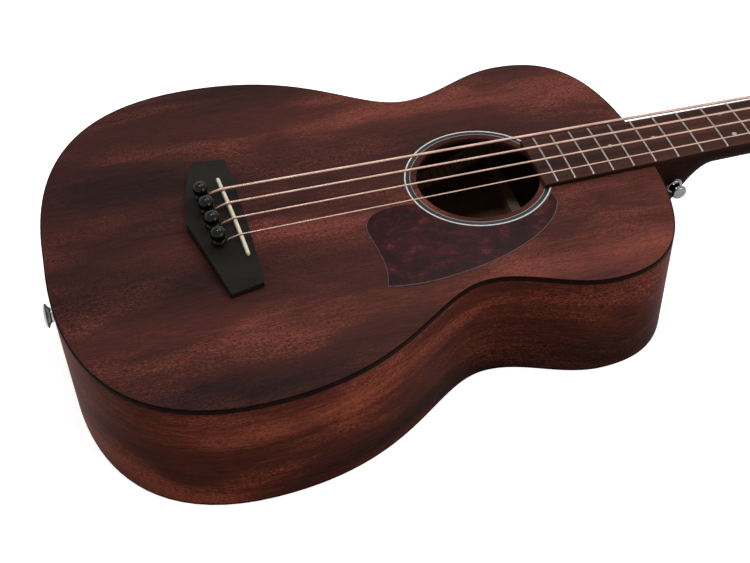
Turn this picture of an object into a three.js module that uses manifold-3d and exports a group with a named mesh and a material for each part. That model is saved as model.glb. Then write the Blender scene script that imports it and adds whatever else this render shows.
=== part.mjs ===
// A four-string acoustic bass guitar, lying on its back. Millimetres, +Z up.
// +X runs from the tail to the head and +Y towards the low string. The back's outer face lies on z = 0, and
// the origin is its point under the saddle. The soundboard's outer face is the deck: most pieces are made in
// the deck's own frame, where it is z = 0, and the deck tilts, because the body is deeper at the tail.
import * as THREE from "three";
import { mergeVertices, toCreasedNormals } from "three/addons/utils/BufferGeometryUtils.js";
import Module from "manifold-3d";

const wasm = await Module();
wasm.setup();

const seam = 0.1; // left between pieces that are glued, pressed or laid together
const clearance = 0.3; // left between pieces that move or that are pushed in by hand
const overrun = 6; // how far a cut runs past what it cuts
const weldDistance = 1e-3;
const creaseAngle = Math.PI / 5;
const hexCornerShare = 2 / Math.sqrt(3); // of half the width across the flats
const roundSteps = 32;
const shaftSteps = 12;

const scale = { length: 812.8, frets: 20, bodyFret: 15, bodyPastFret: 1.3 };

const body = {
  length: 497.4,
  lowerBout: 378.4,
  lowerBoutFromTail: 137,
  waist: 234.3,
  waistFromNeck: 173.1,
  upperBout: 284.5,
  upperBoutFromNeck: 82.7,
  tailDepth: 111.5,
  neckDepth: 98,
  topThickness: 3.4,
  backThickness: 3.4,
  sideThickness: 2.4,
};
// How far each curve's two handles reach: along the next bout's half width at the two ends of the body, and
// along the curve's own run of X elsewhere.
const rimHandleShares = [
  [0.175, 1.059],
  [0.609, 0.241],
  [0.358, 0.386],
  [0.52, 0.841],
];
const rimSteps = [10, 6, 5, 9];

const binding = { topHeight: 4.2, topBevel: 0.8, backHeight: 2.2 };
const lining = { width: 7, height: 15, lip: 4, endGap: 2 };
const neckBlock = { width: 74, length: 58 };
const tailBlock = { width: 80, length: 22 };

const soundhole = { underBoard: 3.8, radius: 50.6 };
const rosette = { inner: 55.4, outer: 60.4, depth: 1.2 };

const brace = { width: 9, endHeight: 3, taper: 42, endGap: 6 };
const xBrace = { angle: 46, height: 16 };
const crossingShare = 0.694; // from the bridge plate to the soundhole
const toneBar = { height: 11, fromPlate: 6.9, fromBlock: 5.9 };
// Each bar starts at a share of the X's treble leg. It ends at a share of the run between the bridge plate
// and the tail block, and of half the plate's length.
const toneBarShares = [
  { leg: 0.886, run: 0.48, side: 0.91 },
  { leg: 0.98, run: 1, side: 0.38 },
];
const upperBrace = { height: 20, accessRadius: 5.4 };
const upperBraceShare = 0.436; // from the soundhole to the neck block
const backBrace = { height: 14 };
const backBraceShares = [0.815, 0.616, 0.403, 0.186]; // from the body's tail to its neck end
const bridgePlate = { thickness: 3, front: 12, length: 136 };
const bridgePlateRearShare = 0.197; // from the rearmost pin's hole to the tail block

const pickguard = { thickness: 0.8, length: 156, drop: 106.5, ringGap: 0.6 };
// From the soundhole's centre, towards the tail and the treble side, in the guard's length and drop.
const guardLobeShares = { high: [0.47, 0.14], bulge: [0.665, 0.13], left: [0.667, 0.38] };
const guardSideShares = { upper: [0.655, 0.55], lower: [0.62, 0.78], corner: [0.672, 0.968] };
const guardSweepShares = { flat: [0.387, 1.096], fall: [-0.238, 0.883], tip: [-0.33, 0.437] };
const guardRingShares = { tail: 0.173, neck: 0.333 }; // where it leaves the ring, of the drop

const bridge = {
  length: 163,
  frontLength: 153,
  front: 3.7,
  frontBow: 1.2,
  rearEnd: 22.8,
  apex: 41.3,
  height: 9.5,
  endHeight: 4,
  turn: 1.1,
};
// The rear edge's handles, as shares of the way from its end to its apex and of its half length.
const bridgeRearShares = {
  bass: { end: [0.55, 0.72], apex: [0.9, 0.27] },
  treble: { end: [0.3, 0.7], apex: [0.66, 0.34] },
};
const saddle = { x: 4.7, slant: 4.4, length: 96, thickness: 3, slotDepth: 4, edge: 0.5 };

const strings = {
  names: ["e", "a", "d", "g"],
  diameters: [2.54, 2.03, 1.65, 1.14],
  spacingAtSaddle: 18.8,
  spacingAtNut: 11.4,
  heightAtSaddle: 7,
  heightAtNut: 0.6,
  sides: 8,
  ballRadius: 2.6,
};
const pin = {
  behindSaddle: 17.6,
  shaftTop: 3.2,
  shaftTip: 2.6,
  length: 16,
  collar: 4.7,
  collarHeight: 2.2,
  waist: 3.1,
  ball: 6.4,
  ballCentre: 8.6,
  ballSteps: 6,
};
const stringBehindPinEdge = 0.35; // from the pin's collar to the thickest string

const fretboard = { pastLastFret: 11, endWidth: 59.6, nutWidth: 43, thickness: 5.3, radius: 400, steps: 4 };
const fret = { width: 2.1, height: 1.2, sunk: 0.6, inset: 0.5, spans: 3 };
const nut = { length: 6, aboveStrings: 0.3 };

const neck = { depthAtNut: 19.5, depthAtHeel: 21, heelReach: 56, heelClear: 1, roundness: 2.2, steps: 10 };
const heelStationShares = [0, 0.08, 0.18, 0.3, 0.42, 0.55, 0.68, 0.84, 1];
const heelCurve = 2.2;
const head = {
  angle: 13,
  length: 172,
  thickness: 14,
  shoulder: 34,
  shoulderWidth: 74,
  topWidth: 80,
  crownRise: 18,
  voluteReach: 34,
};
const rod = { radius: 2.4, fromNut: 12.8, insideNut: 7 };
const rodNut = { radius: 4.5, length: 14, socket: 5, socketDepth: 6, fromBlock: 1.2 };

const heelButton = { fromBody: 20.5, level: 28, seat: 25.8 };
const tailButton = { level: 58.5 };
const strapButton = {
  base: 6.2,
  waist: 4,
  cap: 6.6,
  height: 11,
  capHeight: 3.4,
  screw: 2.2,
  screwLength: 20,
};
const endPin = {
  base: 8.2,
  waist: 5.2,
  cap: 10.2,
  height: 9.6,
  capHeight: 3.2,
  screw: 2.6,
  screwLength: 26,
};
const washer = { thickness: 1.3, heelRadius: 7, tailRadius: 15 };

const tuner = { fromNut: 58, spacing: 74, width: 46 };
const gear = { teeth: 18, module: 1.25, backlash: 0.46, flank: 20, addendumShare: 0.68, dedendumShare: 0.92 };
const gearFace = 5.4;
const hub = { radius: 6.4, gap: 0.35 };
const worm = { pitchRadius: 4.1, turns: 3, steps: 12, fused: 0.35 };
const tunerPlate = { thickness: 1.4, width: 25, corner: 3, beyondPost: 12, beyondWorm: 6.4 };
const lug = { thickness: 2.4, width: 9.6, fromThread: 0.6, below: 4.6 };
const keyShaft = { journal: 2.5, play: 0.15, collar: 3.8, collarLength: 1.5, neck: 3.6, neckLength: 11 };
const keyPaddle = { radius: 11.5, lobe: 0.16, lobes: 3, thickness: 4.4, edge: 1, steps: 15 };
const post = {
  radius: 4.8,
  waist: 4.2,
  waistFrom: 3.1,
  waistTo: 13.3,
  neckRise: 0.6,
  top: 17,
  topEdge: 0.8,
  slot: 3.2,
  slotFloor: 9,
  belowGear: 1.2,
};
const bushing = { radius: 6.5, flange: 8.6, flangeHeight: 2, play: 0.15, fromBack: 1, steps: 12 };
const winding = {
  turns: [2, 2.25, 2.75, 3.25],
  steps: 12,
  sides: 6,
  fromPost: 0.3,
  intoSlot: 1.2,
  gap: 0.45,
};

const woodTop = { color: 0x5f342a, roughness: 0.62, metalness: 0 };
const woodSide = { color: 0x5a261b, roughness: 0.58, metalness: 0 };
const woodNeck = { color: 0x2b1713, roughness: 0.6, metalness: 0 };
const woodInside = { color: 0x8a6a4c, roughness: 0.85, metalness: 0 };
const woodBrace = { color: 0xa98a63, roughness: 0.85, metalness: 0 };
const darkBinding = { color: 0x1a1312, roughness: 0.45, metalness: 0 };
const rosewood = { color: 0x3d2a26, roughness: 0.66, metalness: 0 };
const ebony = { color: 0x24211d, roughness: 0.55, metalness: 0 };
const bone = { color: 0xe6dcc3, roughness: 0.4, metalness: 0 };
const blackPlastic = { color: 0x0d0d0f, roughness: 0.15, metalness: 0 };
const blackRing = { color: 0x15181a, roughness: 0.35, metalness: 0 };
const tortoise = { color: 0x3c1a20, roughness: 0.3, metalness: 0 };
const bronze = { color: 0xc99c7c, roughness: 0.35, metalness: 0.9 };
const chrome = { color: 0xd4d6d9, roughness: 0.14, metalness: 1 };
const nickel = { color: 0xb9bbbe, roughness: 0.3, metalness: 1 };
const steel = { color: 0x77787b, roughness: 0.42, metalness: 1 };
const felt = { color: 0xc9c8c2, roughness: 0.95, metalness: 0 };

const v2 = (x, y) => new THREE.Vector2(x, y);
const v3 = (x, y, z) => new THREE.Vector3(x, y, z);
const lerp = THREE.MathUtils.lerp;
const radians = THREE.MathUtils.degToRad;
const range = (count) => Array.from({ length: count }, (_, i) => i);

const fretX = (number) => scale.length * 2 ** (-number / 12);
const endX = fretX(scale.bodyFret) + scale.bodyPastFret;
const tailX = endX - body.length;
const waistX = endX - body.waistFromNeck;
const nutX = scale.length;
const headX = nutX + nut.length;
const tilt = Math.atan2(body.tailDepth - body.neckDepth, body.length);
const rodEndX = nutX - rod.fromNut;
const boardEndX = fretX(scale.frets) - fretboard.pastLastFret;
const holeX = boardEndX + soundhole.underBoard - soundhole.radius;
const neckBlockX = endX - body.sideThickness - seam - neckBlock.length;
const tailBlockX = tailX + body.sideThickness + seam + tailBlock.length;
const upperBraceX = lerp(holeX + soundhole.radius, neckBlockX, upperBraceShare);
const depthAt = (x) => lerp(body.tailDepth, body.neckDepth, (x - tailX) / body.length);
const underTop = -(body.topThickness + seam);
const rodLevel = body.topThickness + seam + rodNut.radius + clearance;
const overBack = (x) => -depthAt(x) + body.backThickness + seam;

// Closes the seams of a geometry, drops the faces without area and turns the faces outwards.
function weld(source) {
  const bare = new THREE.BufferGeometry().setAttribute("position", source.getAttribute("position"));
  if (source.index) bare.setIndex(source.index);
  const merged = mergeVertices(bare, weldDistance);
  const at = (i) => new THREE.Vector3().fromBufferAttribute(merged.attributes.position, i);
  const faces = [];
  let volume = 0;
  for (let i = 0; i < merged.index.count; i += 3) {
    const [a, b, c] = [0, 1, 2].map((j) => merged.index.getX(i + j));
    if (a === b || b === c || c === a) continue;
    faces.push([a, b, c]);
    volume += at(a).dot(at(b).cross(at(c)));
  }
  merged.setIndex((volume < 0 ? faces.map(([a, b, c]) => [a, c, b]) : faces).flat());
  return merged;
}

function solid(geometry) {
  const { attributes, index } = weld(geometry);
  return new wasm.Manifold(
    new wasm.Mesh({
      numProp: 3,
      vertProperties: new Float32Array(attributes.position.array),
      triVerts: new Uint32Array(index.array),
    }),
  );
}

function geometryOf(made) {
  const mesh = made.getMesh();
  return new THREE.BufferGeometry()
    .setAttribute("position", new THREE.Float32BufferAttribute(mesh.vertProperties, 3))
    .setIndex([...mesh.triVerts]);
}

function piece(parent, name, shape, look) {
  const geometry = weld(shape.isBufferGeometry ? shape : geometryOf(shape));
  const mesh = new THREE.Mesh(
    toCreasedNormals(geometry, creaseAngle),
    new THREE.MeshStandardMaterial(look),
  );
  mesh.name = name;
  parent.add(mesh);
  return mesh;
}

function group(parent, name) {
  const made = new THREE.Group();
  made.name = name;
  parent?.add(made);
  return made;
}

// Lofts through rows of points. Each row is a closed ring of as many points as the next. An open loft gets
// flat ends, and a closed one joins its last row to its first.
function loft(rows, closed = false) {
  const count = rows[0].length;
  const faces = [];
  range(closed ? rows.length : rows.length - 1).forEach((i) => {
    const [here, next] = [i * count, ((i + 1) % rows.length) * count];
    range(count).forEach((j) => {
      const k = (j + 1) % count;
      faces.push(here + j, here + k, next + k, here + j, next + k, next + j);
    });
  });
  if (!closed) {
    faces.push(...flatEnd(rows[0], 0, false), ...flatEnd(rows.at(-1), (rows.length - 1) * count, true));
  }
  return new THREE.BufferGeometry()
    .setAttribute("position", new THREE.Float32BufferAttribute(rows.flat().flatMap((p) => p.toArray()), 3))
    .setIndex(faces);
}

function flatEnd(ring, first, forward) {
  const following = (i) => ring[(i + 1) % ring.length];
  const normal = ring.reduce((sum, p, i) => sum.add(p.clone().cross(following(i))), v3(0, 0, 0));
  const turn = new THREE.Quaternion().setFromUnitVectors(normal.normalize(), v3(0, 0, 1));
  const flat = ring.map((p) => p.clone().applyQuaternion(turn));
  return THREE.ShapeUtils.triangulateShape(
    flat.map((p) => v2(p.x, p.y)),
    [],
  ).flatMap((face) => {
    const [a, b, c] = face.map((i) => v2(flat[i].x, flat[i].y));
    const ringwise = b.clone().sub(a).cross(c.clone().sub(a)) > 0;
    const [i, j, k] = face.map((index) => index + first);
    return ringwise === forward ? [i, j, k] : [i, k, j];
  });
}

// A round tube with mitred bends along a path of straight steps.
function tube(path, radius, sides) {
  const steps = path.slice(1).map((p, i) => p.clone().sub(path[i]).normalize());
  const across = v3(0, 0, 1).cross(steps[0]).normalize();
  if (across.lengthSq() === 0) across.set(0, 1, 0);
  let frame = [across, steps[0].clone().cross(across)];
  return loft(
    path.map((point, i) => {
      const [before, after] = [steps[Math.max(i - 1, 0)], steps[Math.min(i, steps.length - 1)]];
      const mitre = before.clone().add(after);
      const ring = range(sides).map((j) => {
        const angle = (j * 2 * Math.PI) / sides;
        const spoke = frame[0].clone().multiplyScalar(radius * Math.cos(angle));
        spoke.addScaledVector(frame[1], radius * Math.sin(angle));
        return spoke.addScaledVector(before, -spoke.dot(mitre) / before.dot(mitre)).add(point);
      });
      const bend = new THREE.Quaternion().setFromUnitVectors(before, after);
      frame = frame.map((axis) => axis.clone().applyQuaternion(bend));
      return ring;
    }),
  );
}

const extrude = (shape, depth, curveSegments = roundSteps) =>
  new THREE.ExtrudeGeometry(shape, { depth, bevelEnabled: false, curveSegments });

// Turns a profile of [radius, height] pairs about Z, or about Y where the axis is given so.
function turned(profile, segments = shaftSteps, axis = "z") {
  const spun = new THREE.LatheGeometry(
    profile.map(([r, h]) => v2(r, h)),
    segments,
  );
  return axis === "z" ? spun.rotateX(Math.PI / 2) : spun;
}

function rod3(radius, from, to, segments = shaftSteps, axis = "z") {
  return turned([[0, from], [radius, from], [radius, to], [0, to]], segments, axis);
}

function washerRing(inner, outer, from, to, segments) {
  return turned([[inner, from], [outer, from], [outer, to], [inner, to], [inner, from]], segments);
}

const block = (sizeX, sizeY, sizeZ, x, y, z) =>
  new THREE.BoxGeometry(sizeX, sizeY, sizeZ).translate(x, y, z);

// The rim: half of the body's outline, from the tail to the neck, with its inward direction.
function rimCurves() {
  const tail = v2(tailX, 0);
  const lower = v2(tailX + body.lowerBoutFromTail, body.lowerBout / 2);
  const waist = v2(waistX, body.waist / 2);
  const upper = v2(endX - body.upperBoutFromNeck, body.upperBout / 2);
  const end = v2(endX, 0);
  const [toLower, toWaist, toUpper, toEnd] = rimHandleShares;
  const handle = (from, to, share) => v2(lerp(from.x, to.x, share), from.y);
  const bend = (from, to, [first, second]) =>
    new THREE.CubicBezierCurve(from, handle(from, to, first), handle(to, from, second), to);
  return [
    new THREE.CubicBezierCurve(
      tail,
      v2(tail.x, lower.y * toLower[0]),
      handle(lower, tail, toLower[1]),
      lower,
    ),
    bend(lower, waist, toWaist),
    bend(waist, upper, toUpper),
    new THREE.CubicBezierCurve(upper, handle(upper, end, toEnd[0]), v2(end.x, upper.y * toEnd[1]), end),
  ];
}

const rim = rimCurves().flatMap((curve, i, all) =>
  range(rimSteps[i] + (i === all.length - 1 ? 1 : 0)).map((k) => {
    const along = curve.getTangent(k / rimSteps[i]);
    return { point: curve.getPoint(k / rimSteps[i]), inward: v2(along.y, -along.x) };
  }),
);
const mirrored = ({ point, inward }) => ({ point: v2(point.x, -point.y), inward: v2(inward.x, -inward.y) });
const fullRim = [...rim, ...rim.slice(1, -1).reverse().map(mirrored)];
const insetAt = ({ point, inward }, depth) => point.clone().addScaledVector(inward, depth);
const rimLoop = (depth) => fullRim.map((station) => insetAt(station, depth));

// The rim's station at an offset from the centreline, near the tail or near the neck.
function stationAt(offset, atNeck) {
  const run = atNeck ? [...rim].reverse() : rim;
  const after = run.findIndex(({ point }) => point.y >= offset);
  const [a, b] = [run[after - 1], run[after]];
  const share = (offset - a.point.y) / (b.point.y - a.point.y);
  return { point: a.point.clone().lerp(b.point, share), inward: a.inward.clone().lerp(b.inward, share) };
}

function halfRim(tailOffset, neckOffset) {
  const between = rim.filter(({ point }) => point.y > (point.x < waistX ? tailOffset : neckOffset) + seam);
  return [stationAt(tailOffset, false), ...between, stationAt(neckOffset, true)];
}

// A wall along the rim. Its section is a list of [inset, height at x].
function rimWall(stations, section, side = 1, closed = false) {
  return loft(
    stations.map((station) =>
      section.map(([depth, height]) => {
        const { x, y } = insetAt(station, depth);
        return v3(x, side * y, height(x));
      }),
    ),
    closed,
  );
}
const level = (z) => () => z;

// How far both edges of a brace from the centreline reach before they meet the rim at an inset.
function reach(x, direction, inset) {
  const loop = rimLoop(inset);
  const across = v2(-direction.y, direction.x).multiplyScalar(brace.width / 2);
  const hits = [1, -1].flatMap((side) =>
    loop.map((a, i) => {
      const edge = loop[(i + 1) % loop.length].clone().sub(a);
      const bottom = direction.cross(edge);
      const toEdge = a.clone().sub(v2(x, 0)).addScaledVector(across, side);
      const share = toEdge.cross(direction) / bottom;
      const distance = toEdge.cross(edge) / bottom;
      return share >= 0 && share < 1 && distance > 0 ? distance : Infinity;
    }),
  );
  return Math.min(...hits);
}

const liningInset = body.sideThickness + seam + lining.width + seam;

// A brace along local X, glued to a plate above it, with ends that taper.
function braceBar(from, to, height) {
  const shape = new THREE.Shape([v2(from, 0), v2(to, 0), v2(to, -brace.endHeight)]);
  shape.quadraticCurveTo(to - brace.taper / 3, -height, to - brace.taper, -height);
  shape.lineTo(from + brace.taper, -height);
  shape.quadraticCurveTo(from + brace.taper / 3, -height, from, -brace.endHeight);
  return extrude(shape, brace.width, 3)
    .translate(0, 0, -brace.width / 2)
    .rotateX(Math.PI / 2);
}

const instrument = group(null, "acoustic_bass_guitar");
const deck = group(instrument, "deck");
deck.rotation.y = tilt;
deck.position.set(0, 0, depthAt(0)).applyEuler(deck.rotation);
const shell = group(deck, "body");
const neckGroup = group(deck, "neck_assembly");
const headGroup = group(neckGroup, "headstock_frame");
headGroup.position.set(headX, 0, 0);
headGroup.rotation.y = radians(head.angle);
const backGroup = group(instrument, "back_bracing");

// Strings: where each one lies at the saddle and at the nut.
const stringCount = strings.names.length;
const offCentre = (i) => (stringCount - 1) / 2 - i;
const crownDrop = (y) => fretboard.radius - Math.sqrt(fretboard.radius ** 2 - y ** 2);
const boardTop = seam + fretboard.thickness;
const fretTop = (y) => boardTop + fret.height - crownDrop(y);
const saddleXAt = (y) => -saddle.x - y * Math.tan(radians(saddle.slant));
const stringRadius = (i) => strings.diameters[i] / 2;
const stringAtSaddle = (i) => {
  const y = offCentre(i) * strings.spacingAtSaddle;
  return v3(saddleXAt(y), y, fretTop(y) + strings.heightAtSaddle + stringRadius(i));
};
const stringAtNut = (i) => {
  const y = offCentre(i) * strings.spacingAtNut;
  return v3(nutX, y, fretTop(y) + strings.heightAtNut + stringRadius(i));
};
const pinAt = (i) => stringAtSaddle(i).setX(stringAtSaddle(i).x - pin.behindSaddle);
const bridgeTop = (y) => seam + lerp(bridge.height, bridge.endHeight, ((2 * y) / bridge.length) ** 2);
const stringFromPin = pin.collar + stringBehindPinEdge + Math.max(...strings.diameters) / 2;
const slotHalf = Math.max(...strings.diameters) / 2 + clearance;

// The keyhole that each bridge pin and its string share, through the bridge, the soundboard and the plate.
function keyholes(from, to) {
  return wasm.Manifold.union(
    range(stringCount).flatMap((i) => {
      const { x, y } = pinAt(i);
      const size = to - from;
      return [
        solid(rod3(pin.shaftTop + clearance, from, to).translate(x, y, 0)),
        solid(rod3(slotHalf, from, to).translate(x + stringFromPin, y, 0)),
        solid(block(stringFromPin, 2 * slotHalf, size, x + stringFromPin / 2, y, from + size / 2)),
      ];
    }),
  );
}

function soundboard() {
  const shape = new THREE.Shape(rimLoop(body.sideThickness + seam));
  shape.holes.push(new THREE.Path().absarc(holeX, 0, soundhole.radius, 0, 2 * Math.PI));
  const { inner, outer, depth } = rosette;
  const channel = washerRing(inner - seam, outer + seam, -depth - seam, overrun, roundSteps);
  return solid(extrude(shape, body.topThickness).translate(0, 0, -body.topThickness))
    .subtract(solid(channel.translate(holeX, 0, 0)))
    .subtract(keyholes(-body.topThickness - overrun, overrun));
}

function back() {
  const made = extrude(new THREE.Shape(rimLoop(body.sideThickness + seam)), body.backThickness);
  const position = made.attributes.position;
  range(position.count).forEach((i) => position.setZ(i, position.getZ(i) - depthAt(position.getX(i))));
  return made;
}

function ribs() {
  const from = -(binding.topHeight + seam);
  const to = (x) => -depthAt(x) + binding.backHeight + seam;
  const section = [[0, level(from)], [body.sideThickness, level(from)], [body.sideThickness, to], [0, to]];
  const rodway = solid(
    block(
      2 * overrun + body.sideThickness,
      2 * (rod.radius + clearance),
      rodLevel + rod.radius + clearance,
      endX,
      0,
      -(rodLevel + rod.radius + clearance) / 2,
    ),
  );
  const screwway = solid(
    rod3(endPin.screw + clearance, tailX - overrun, tailX + overrun)
      .rotateY(Math.PI / 2)
      .translate(0, 0, -tailButton.level),
  );
  for (const [name, side] of [["bass_side", 1], ["treble_side", -1]]) {
    const wall = solid(rimWall(halfRim(seam, seam), section, side));
    piece(shell, name, wall.subtract(rodway).subtract(screwway), woodSide);
  }
}

function bindings() {
  const { topHeight, topBevel, backHeight } = binding;
  const width = body.sideThickness;
  const top = [[0, -topHeight], [0, -topBevel], [topBevel, 0], [width, 0], [width, -topHeight]];
  const low = (x) => -depthAt(x);
  const high = (x) => -depthAt(x) + backHeight;
  const bottom = [[0, low], [width, low], [width, high], [0, high]];
  const topSection = top.map(([inset, z]) => [inset, level(z)]);
  piece(shell, "top_binding", rimWall(fullRim, topSection, 1, true), darkBinding);
  piece(shell, "back_binding", rimWall(fullRim, bottom, 1, true), darkBinding);
}

function linings() {
  const outer = body.sideThickness + seam;
  const inner = outer + lining.width;
  const { height, lip } = lining;
  const at = (base, drop) => (x) => base(x) + drop;
  const topBase = level(underTop);
  const sections = {
    top: [[outer, topBase], [inner, topBase], [inner, at(topBase, -lip)], [outer, at(topBase, -height)]],
    back: [[outer, overBack], [inner, overBack], [inner, at(overBack, lip)], [outer, at(overBack, height)]],
  };
  const stations = halfRim(tailBlock.width / 2 + lining.endGap, neckBlock.width / 2 + lining.endGap);
  for (const [edge, section] of Object.entries(sections)) {
    for (const [hand, side] of [["bass", 1], ["treble", -1]]) {
      piece(shell, `${edge}_lining_${hand}`, rimWall(stations, section, side), woodInside);
    }
  }
}

// A block glued between the plates at one end, its outer face bent as the sides are.
function endBlock(atNeck, { width, length }) {
  const half = width / 2;
  const depth = body.sideThickness + seam;
  const near = rim.filter(({ point }) => point.y < half - seam && point.x > holeX === atNeck);
  const run = (atNeck ? near.reverse() : near).map((station) => insetAt(station, depth));
  const corner = insetAt(stationAt(half, atNeck), depth);
  const face = [...run.slice(1), corner];
  const innerX = atNeck ? neckBlockX : tailBlockX;
  const ring = [
    v2(innerX, corner.y),
    ...[...face].reverse(),
    run[0],
    ...face.map((p) => v2(p.x, -p.y)),
    v2(innerX, -corner.y),
  ];
  const ends = [() => underTop, overBack].map((height) => ring.map(({ x, y }) => v3(x, y, height(x))));
  return solid(loft(ends));
}

function blocks() {
  const rodSlot = block(
    2 * (neckBlock.length + overrun),
    2 * (rod.radius + clearance),
    rodLevel + rod.radius + clearance,
    endX,
    0,
    -(rodLevel + rod.radius + clearance) / 2,
  );
  const screwHole = rod3(endPin.screw + seam, -overrun, endPin.screwLength + overrun)
    .rotateY(Math.PI / 2)
    .translate(tailX, 0, -tailButton.level);
  piece(shell, "neck_block", endBlock(true, neckBlock).subtract(solid(rodSlot)), woodInside);
  piece(shell, "tail_block", endBlock(false, tailBlock).subtract(solid(screwHole)), woodInside);
}

function topBraces() {
  const { thickness, front, length } = bridgePlate;
  const rear = -lerp(pinAt(0).x - pin.shaftTop - clearance, tailBlockX, bridgePlateRearShare);
  const plateWith = (gap) => {
    const deep = thickness + gap;
    return solid(
      block(front + rear + 2 * gap, length + 2 * gap, deep, (front - rear) / 2, 0, underTop - deep / 2),
    );
  };
  const lean = radians(xBrace.angle);
  const crossingX = lerp(front, holeX - soundhole.radius, crossingShare);
  const upperLimit = upperBraceX - brace.width / 2 - brace.endGap;
  const leg = v2(Math.cos(lean), Math.sin(lean));
  const behind = reach(crossingX, leg.clone().negate(), liningInset) - brace.endGap;
  const ahead = Math.min(
    reach(crossingX, leg, liningInset) - brace.endGap,
    (upperLimit - crossingX) / leg.x,
  );
  const bars = [];
  for (const side of [1, -1]) {
    bars.push(
      solid(braceBar(-behind, ahead, xBrace.height).rotateZ(side * lean).translate(crossingX, 0, underTop)),
    );
  }
  const freeRun = [-rear - toneBar.fromPlate, tailBlockX + toneBar.fromBlock];
  toneBarShares.forEach(({ leg: startShare, run, side }) => {
    const start = leg.clone().multiplyScalar(-startShare * behind).add(v2(crossingX, 0));
    const end = v2(lerp(...freeRun, run), (side * length) / 2);
    const line = end.clone().sub(start);
    const bar = braceBar(0, line.length(), toneBar.height).rotateZ(line.angle());
    bars.push(solid(bar.translate(start.x, start.y, underTop)));
  });
  piece(shell, "x_bracing", wasm.Manifold.union(bars).subtract(plateWith(seam)), woodBrace);

  const half = reach(upperBraceX, v2(0, 1), liningInset) - brace.endGap / 2;
  const cross = solid(
    braceBar(-half, half, upperBrace.height)
      .rotateZ(Math.PI / 2)
      .translate(upperBraceX, 0, underTop),
  );
  const access = rod3(upperBrace.accessRadius, -brace.width, brace.width)
    .rotateY(Math.PI / 2)
    .translate(upperBraceX, 0, -rodLevel - clearance);
  piece(shell, "upper_brace", cross.subtract(solid(access)), woodBrace);

  const drilled = plateWith(0).subtract(keyholes(underTop - thickness - overrun, overrun));
  piece(shell, "bridge_plate", drilled, woodBrace);
}

function backBraces() {
  backBraceShares.forEach((share, i) => {
    const x = lerp(tailX, endX, share);
    const half = reach(x, v2(0, 1), liningInset);
    const bar = braceBar(-half + seam, half - seam, backBrace.height)
      .rotateX(Math.PI)
      .rotateZ(Math.PI / 2)
      .translate(x, 0, body.backThickness + seam);
    piece(backGroup, `back_brace_${i + 1}`, bar, woodBrace);
  });
}

function guard() {
  const ringRadius = rosette.outer + pickguard.ringGap;
  const place = ([along, down]) => v2(holeX - along * pickguard.length, -down * pickguard.drop);
  const angleOf = (share) => Math.asin((share * pickguard.drop) / ringRadius);
  const tailAngle = Math.PI + angleOf(guardRingShares.tail);
  const start = v2(holeX + ringRadius * Math.cos(tailAngle), ringRadius * Math.sin(tailAngle));
  const curve = (shape, first, second, last) => {
    const [a, b, c] = [place(first), place(second), last ?? place(first)];
    shape.bezierCurveTo(a.x, a.y, b.x, b.y, c.x, c.y);
  };
  const shape = new THREE.Shape().moveTo(start.x, start.y);
  const lobe = guardLobeShares;
  const side = guardSideShares;
  const sweep = guardSweepShares;
  curve(shape, lobe.high, lobe.bulge, place(lobe.left));
  curve(shape, side.upper, side.lower, place(side.corner));
  curve(shape, sweep.flat, sweep.fall, place(sweep.tip));
  shape.absarc(holeX, 0, ringRadius, -angleOf(guardRingShares.neck), tailAngle, true);
  return extrude(shape, pickguard.thickness, 12).translate(0, 0, seam);
}

function soundholeTrim() {
  const ring = washerRing(rosette.inner, rosette.outer, -rosette.depth, 0, roundSteps);
  piece(shell, "rosette", ring.translate(holeX, 0, 0), blackRing);
  piece(shell, "pickguard", guard(), tortoise);
}

const saddleTurn = -radians(90 - saddle.slant);
const saddleFloor = seam + bridge.height - saddle.slotDepth;

function bridgeBody() {
  const { length, frontLength, front, frontBow, rearEnd, apex, height, endHeight, turn } = bridge;
  const rear = new THREE.CurvePath();
  for (const [hand, side] of [["bass", 1], ["treble", -1]]) {
    const { end: atEnd, apex: atApex } = bridgeRearShares[hand];
    const handle = ([along, across]) => v2(-lerp(rearEnd, apex, along), (side * across * length) / 2);
    const half = [v2(-rearEnd, (side * length) / 2), handle(atEnd), handle(atApex), v2(-apex, 0)];
    rear.add(new THREE.CubicBezierCurve(...(side > 0 ? half : half.reverse())));
  }
  const bow = new THREE.QuadraticBezierCurve(
    v2(front, -frontLength / 2),
    v2(front + 2 * frontBow, 0),
    v2(front, frontLength / 2),
  );
  const plan = new THREE.Shape([...bow.getPoints(4), ...rear.getPoints(5)]);
  const profile = new THREE.Shape([v2(-length, 0), v2(length, 0), v2(length / 2, endHeight)]);
  profile.quadraticCurveTo(0, 2 * height - endHeight, -length / 2, endHeight);
  const crowned = extrude(profile, 2 * apex, 12)
    .translate(0, 0, -apex)
    .rotateX(Math.PI / 2)
    .rotateZ(Math.PI / 2)
    .translate(0, 0, seam);
  const slot = block(
    saddle.length + 2 * seam,
    saddle.thickness + 2 * seam,
    height,
    0,
    0,
    saddleFloor - seam + height / 2,
  )
    .rotateZ(saddleTurn)
    .translate(-saddle.x, 0, 0);
  return solid(extrude(plan, height + overrun))
    .intersect(solid(crowned))
    .rotate([0, 0, turn])
    .subtract(solid(slot))
    .subtract(keyholes(-overrun, height + overrun));
}

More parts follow.
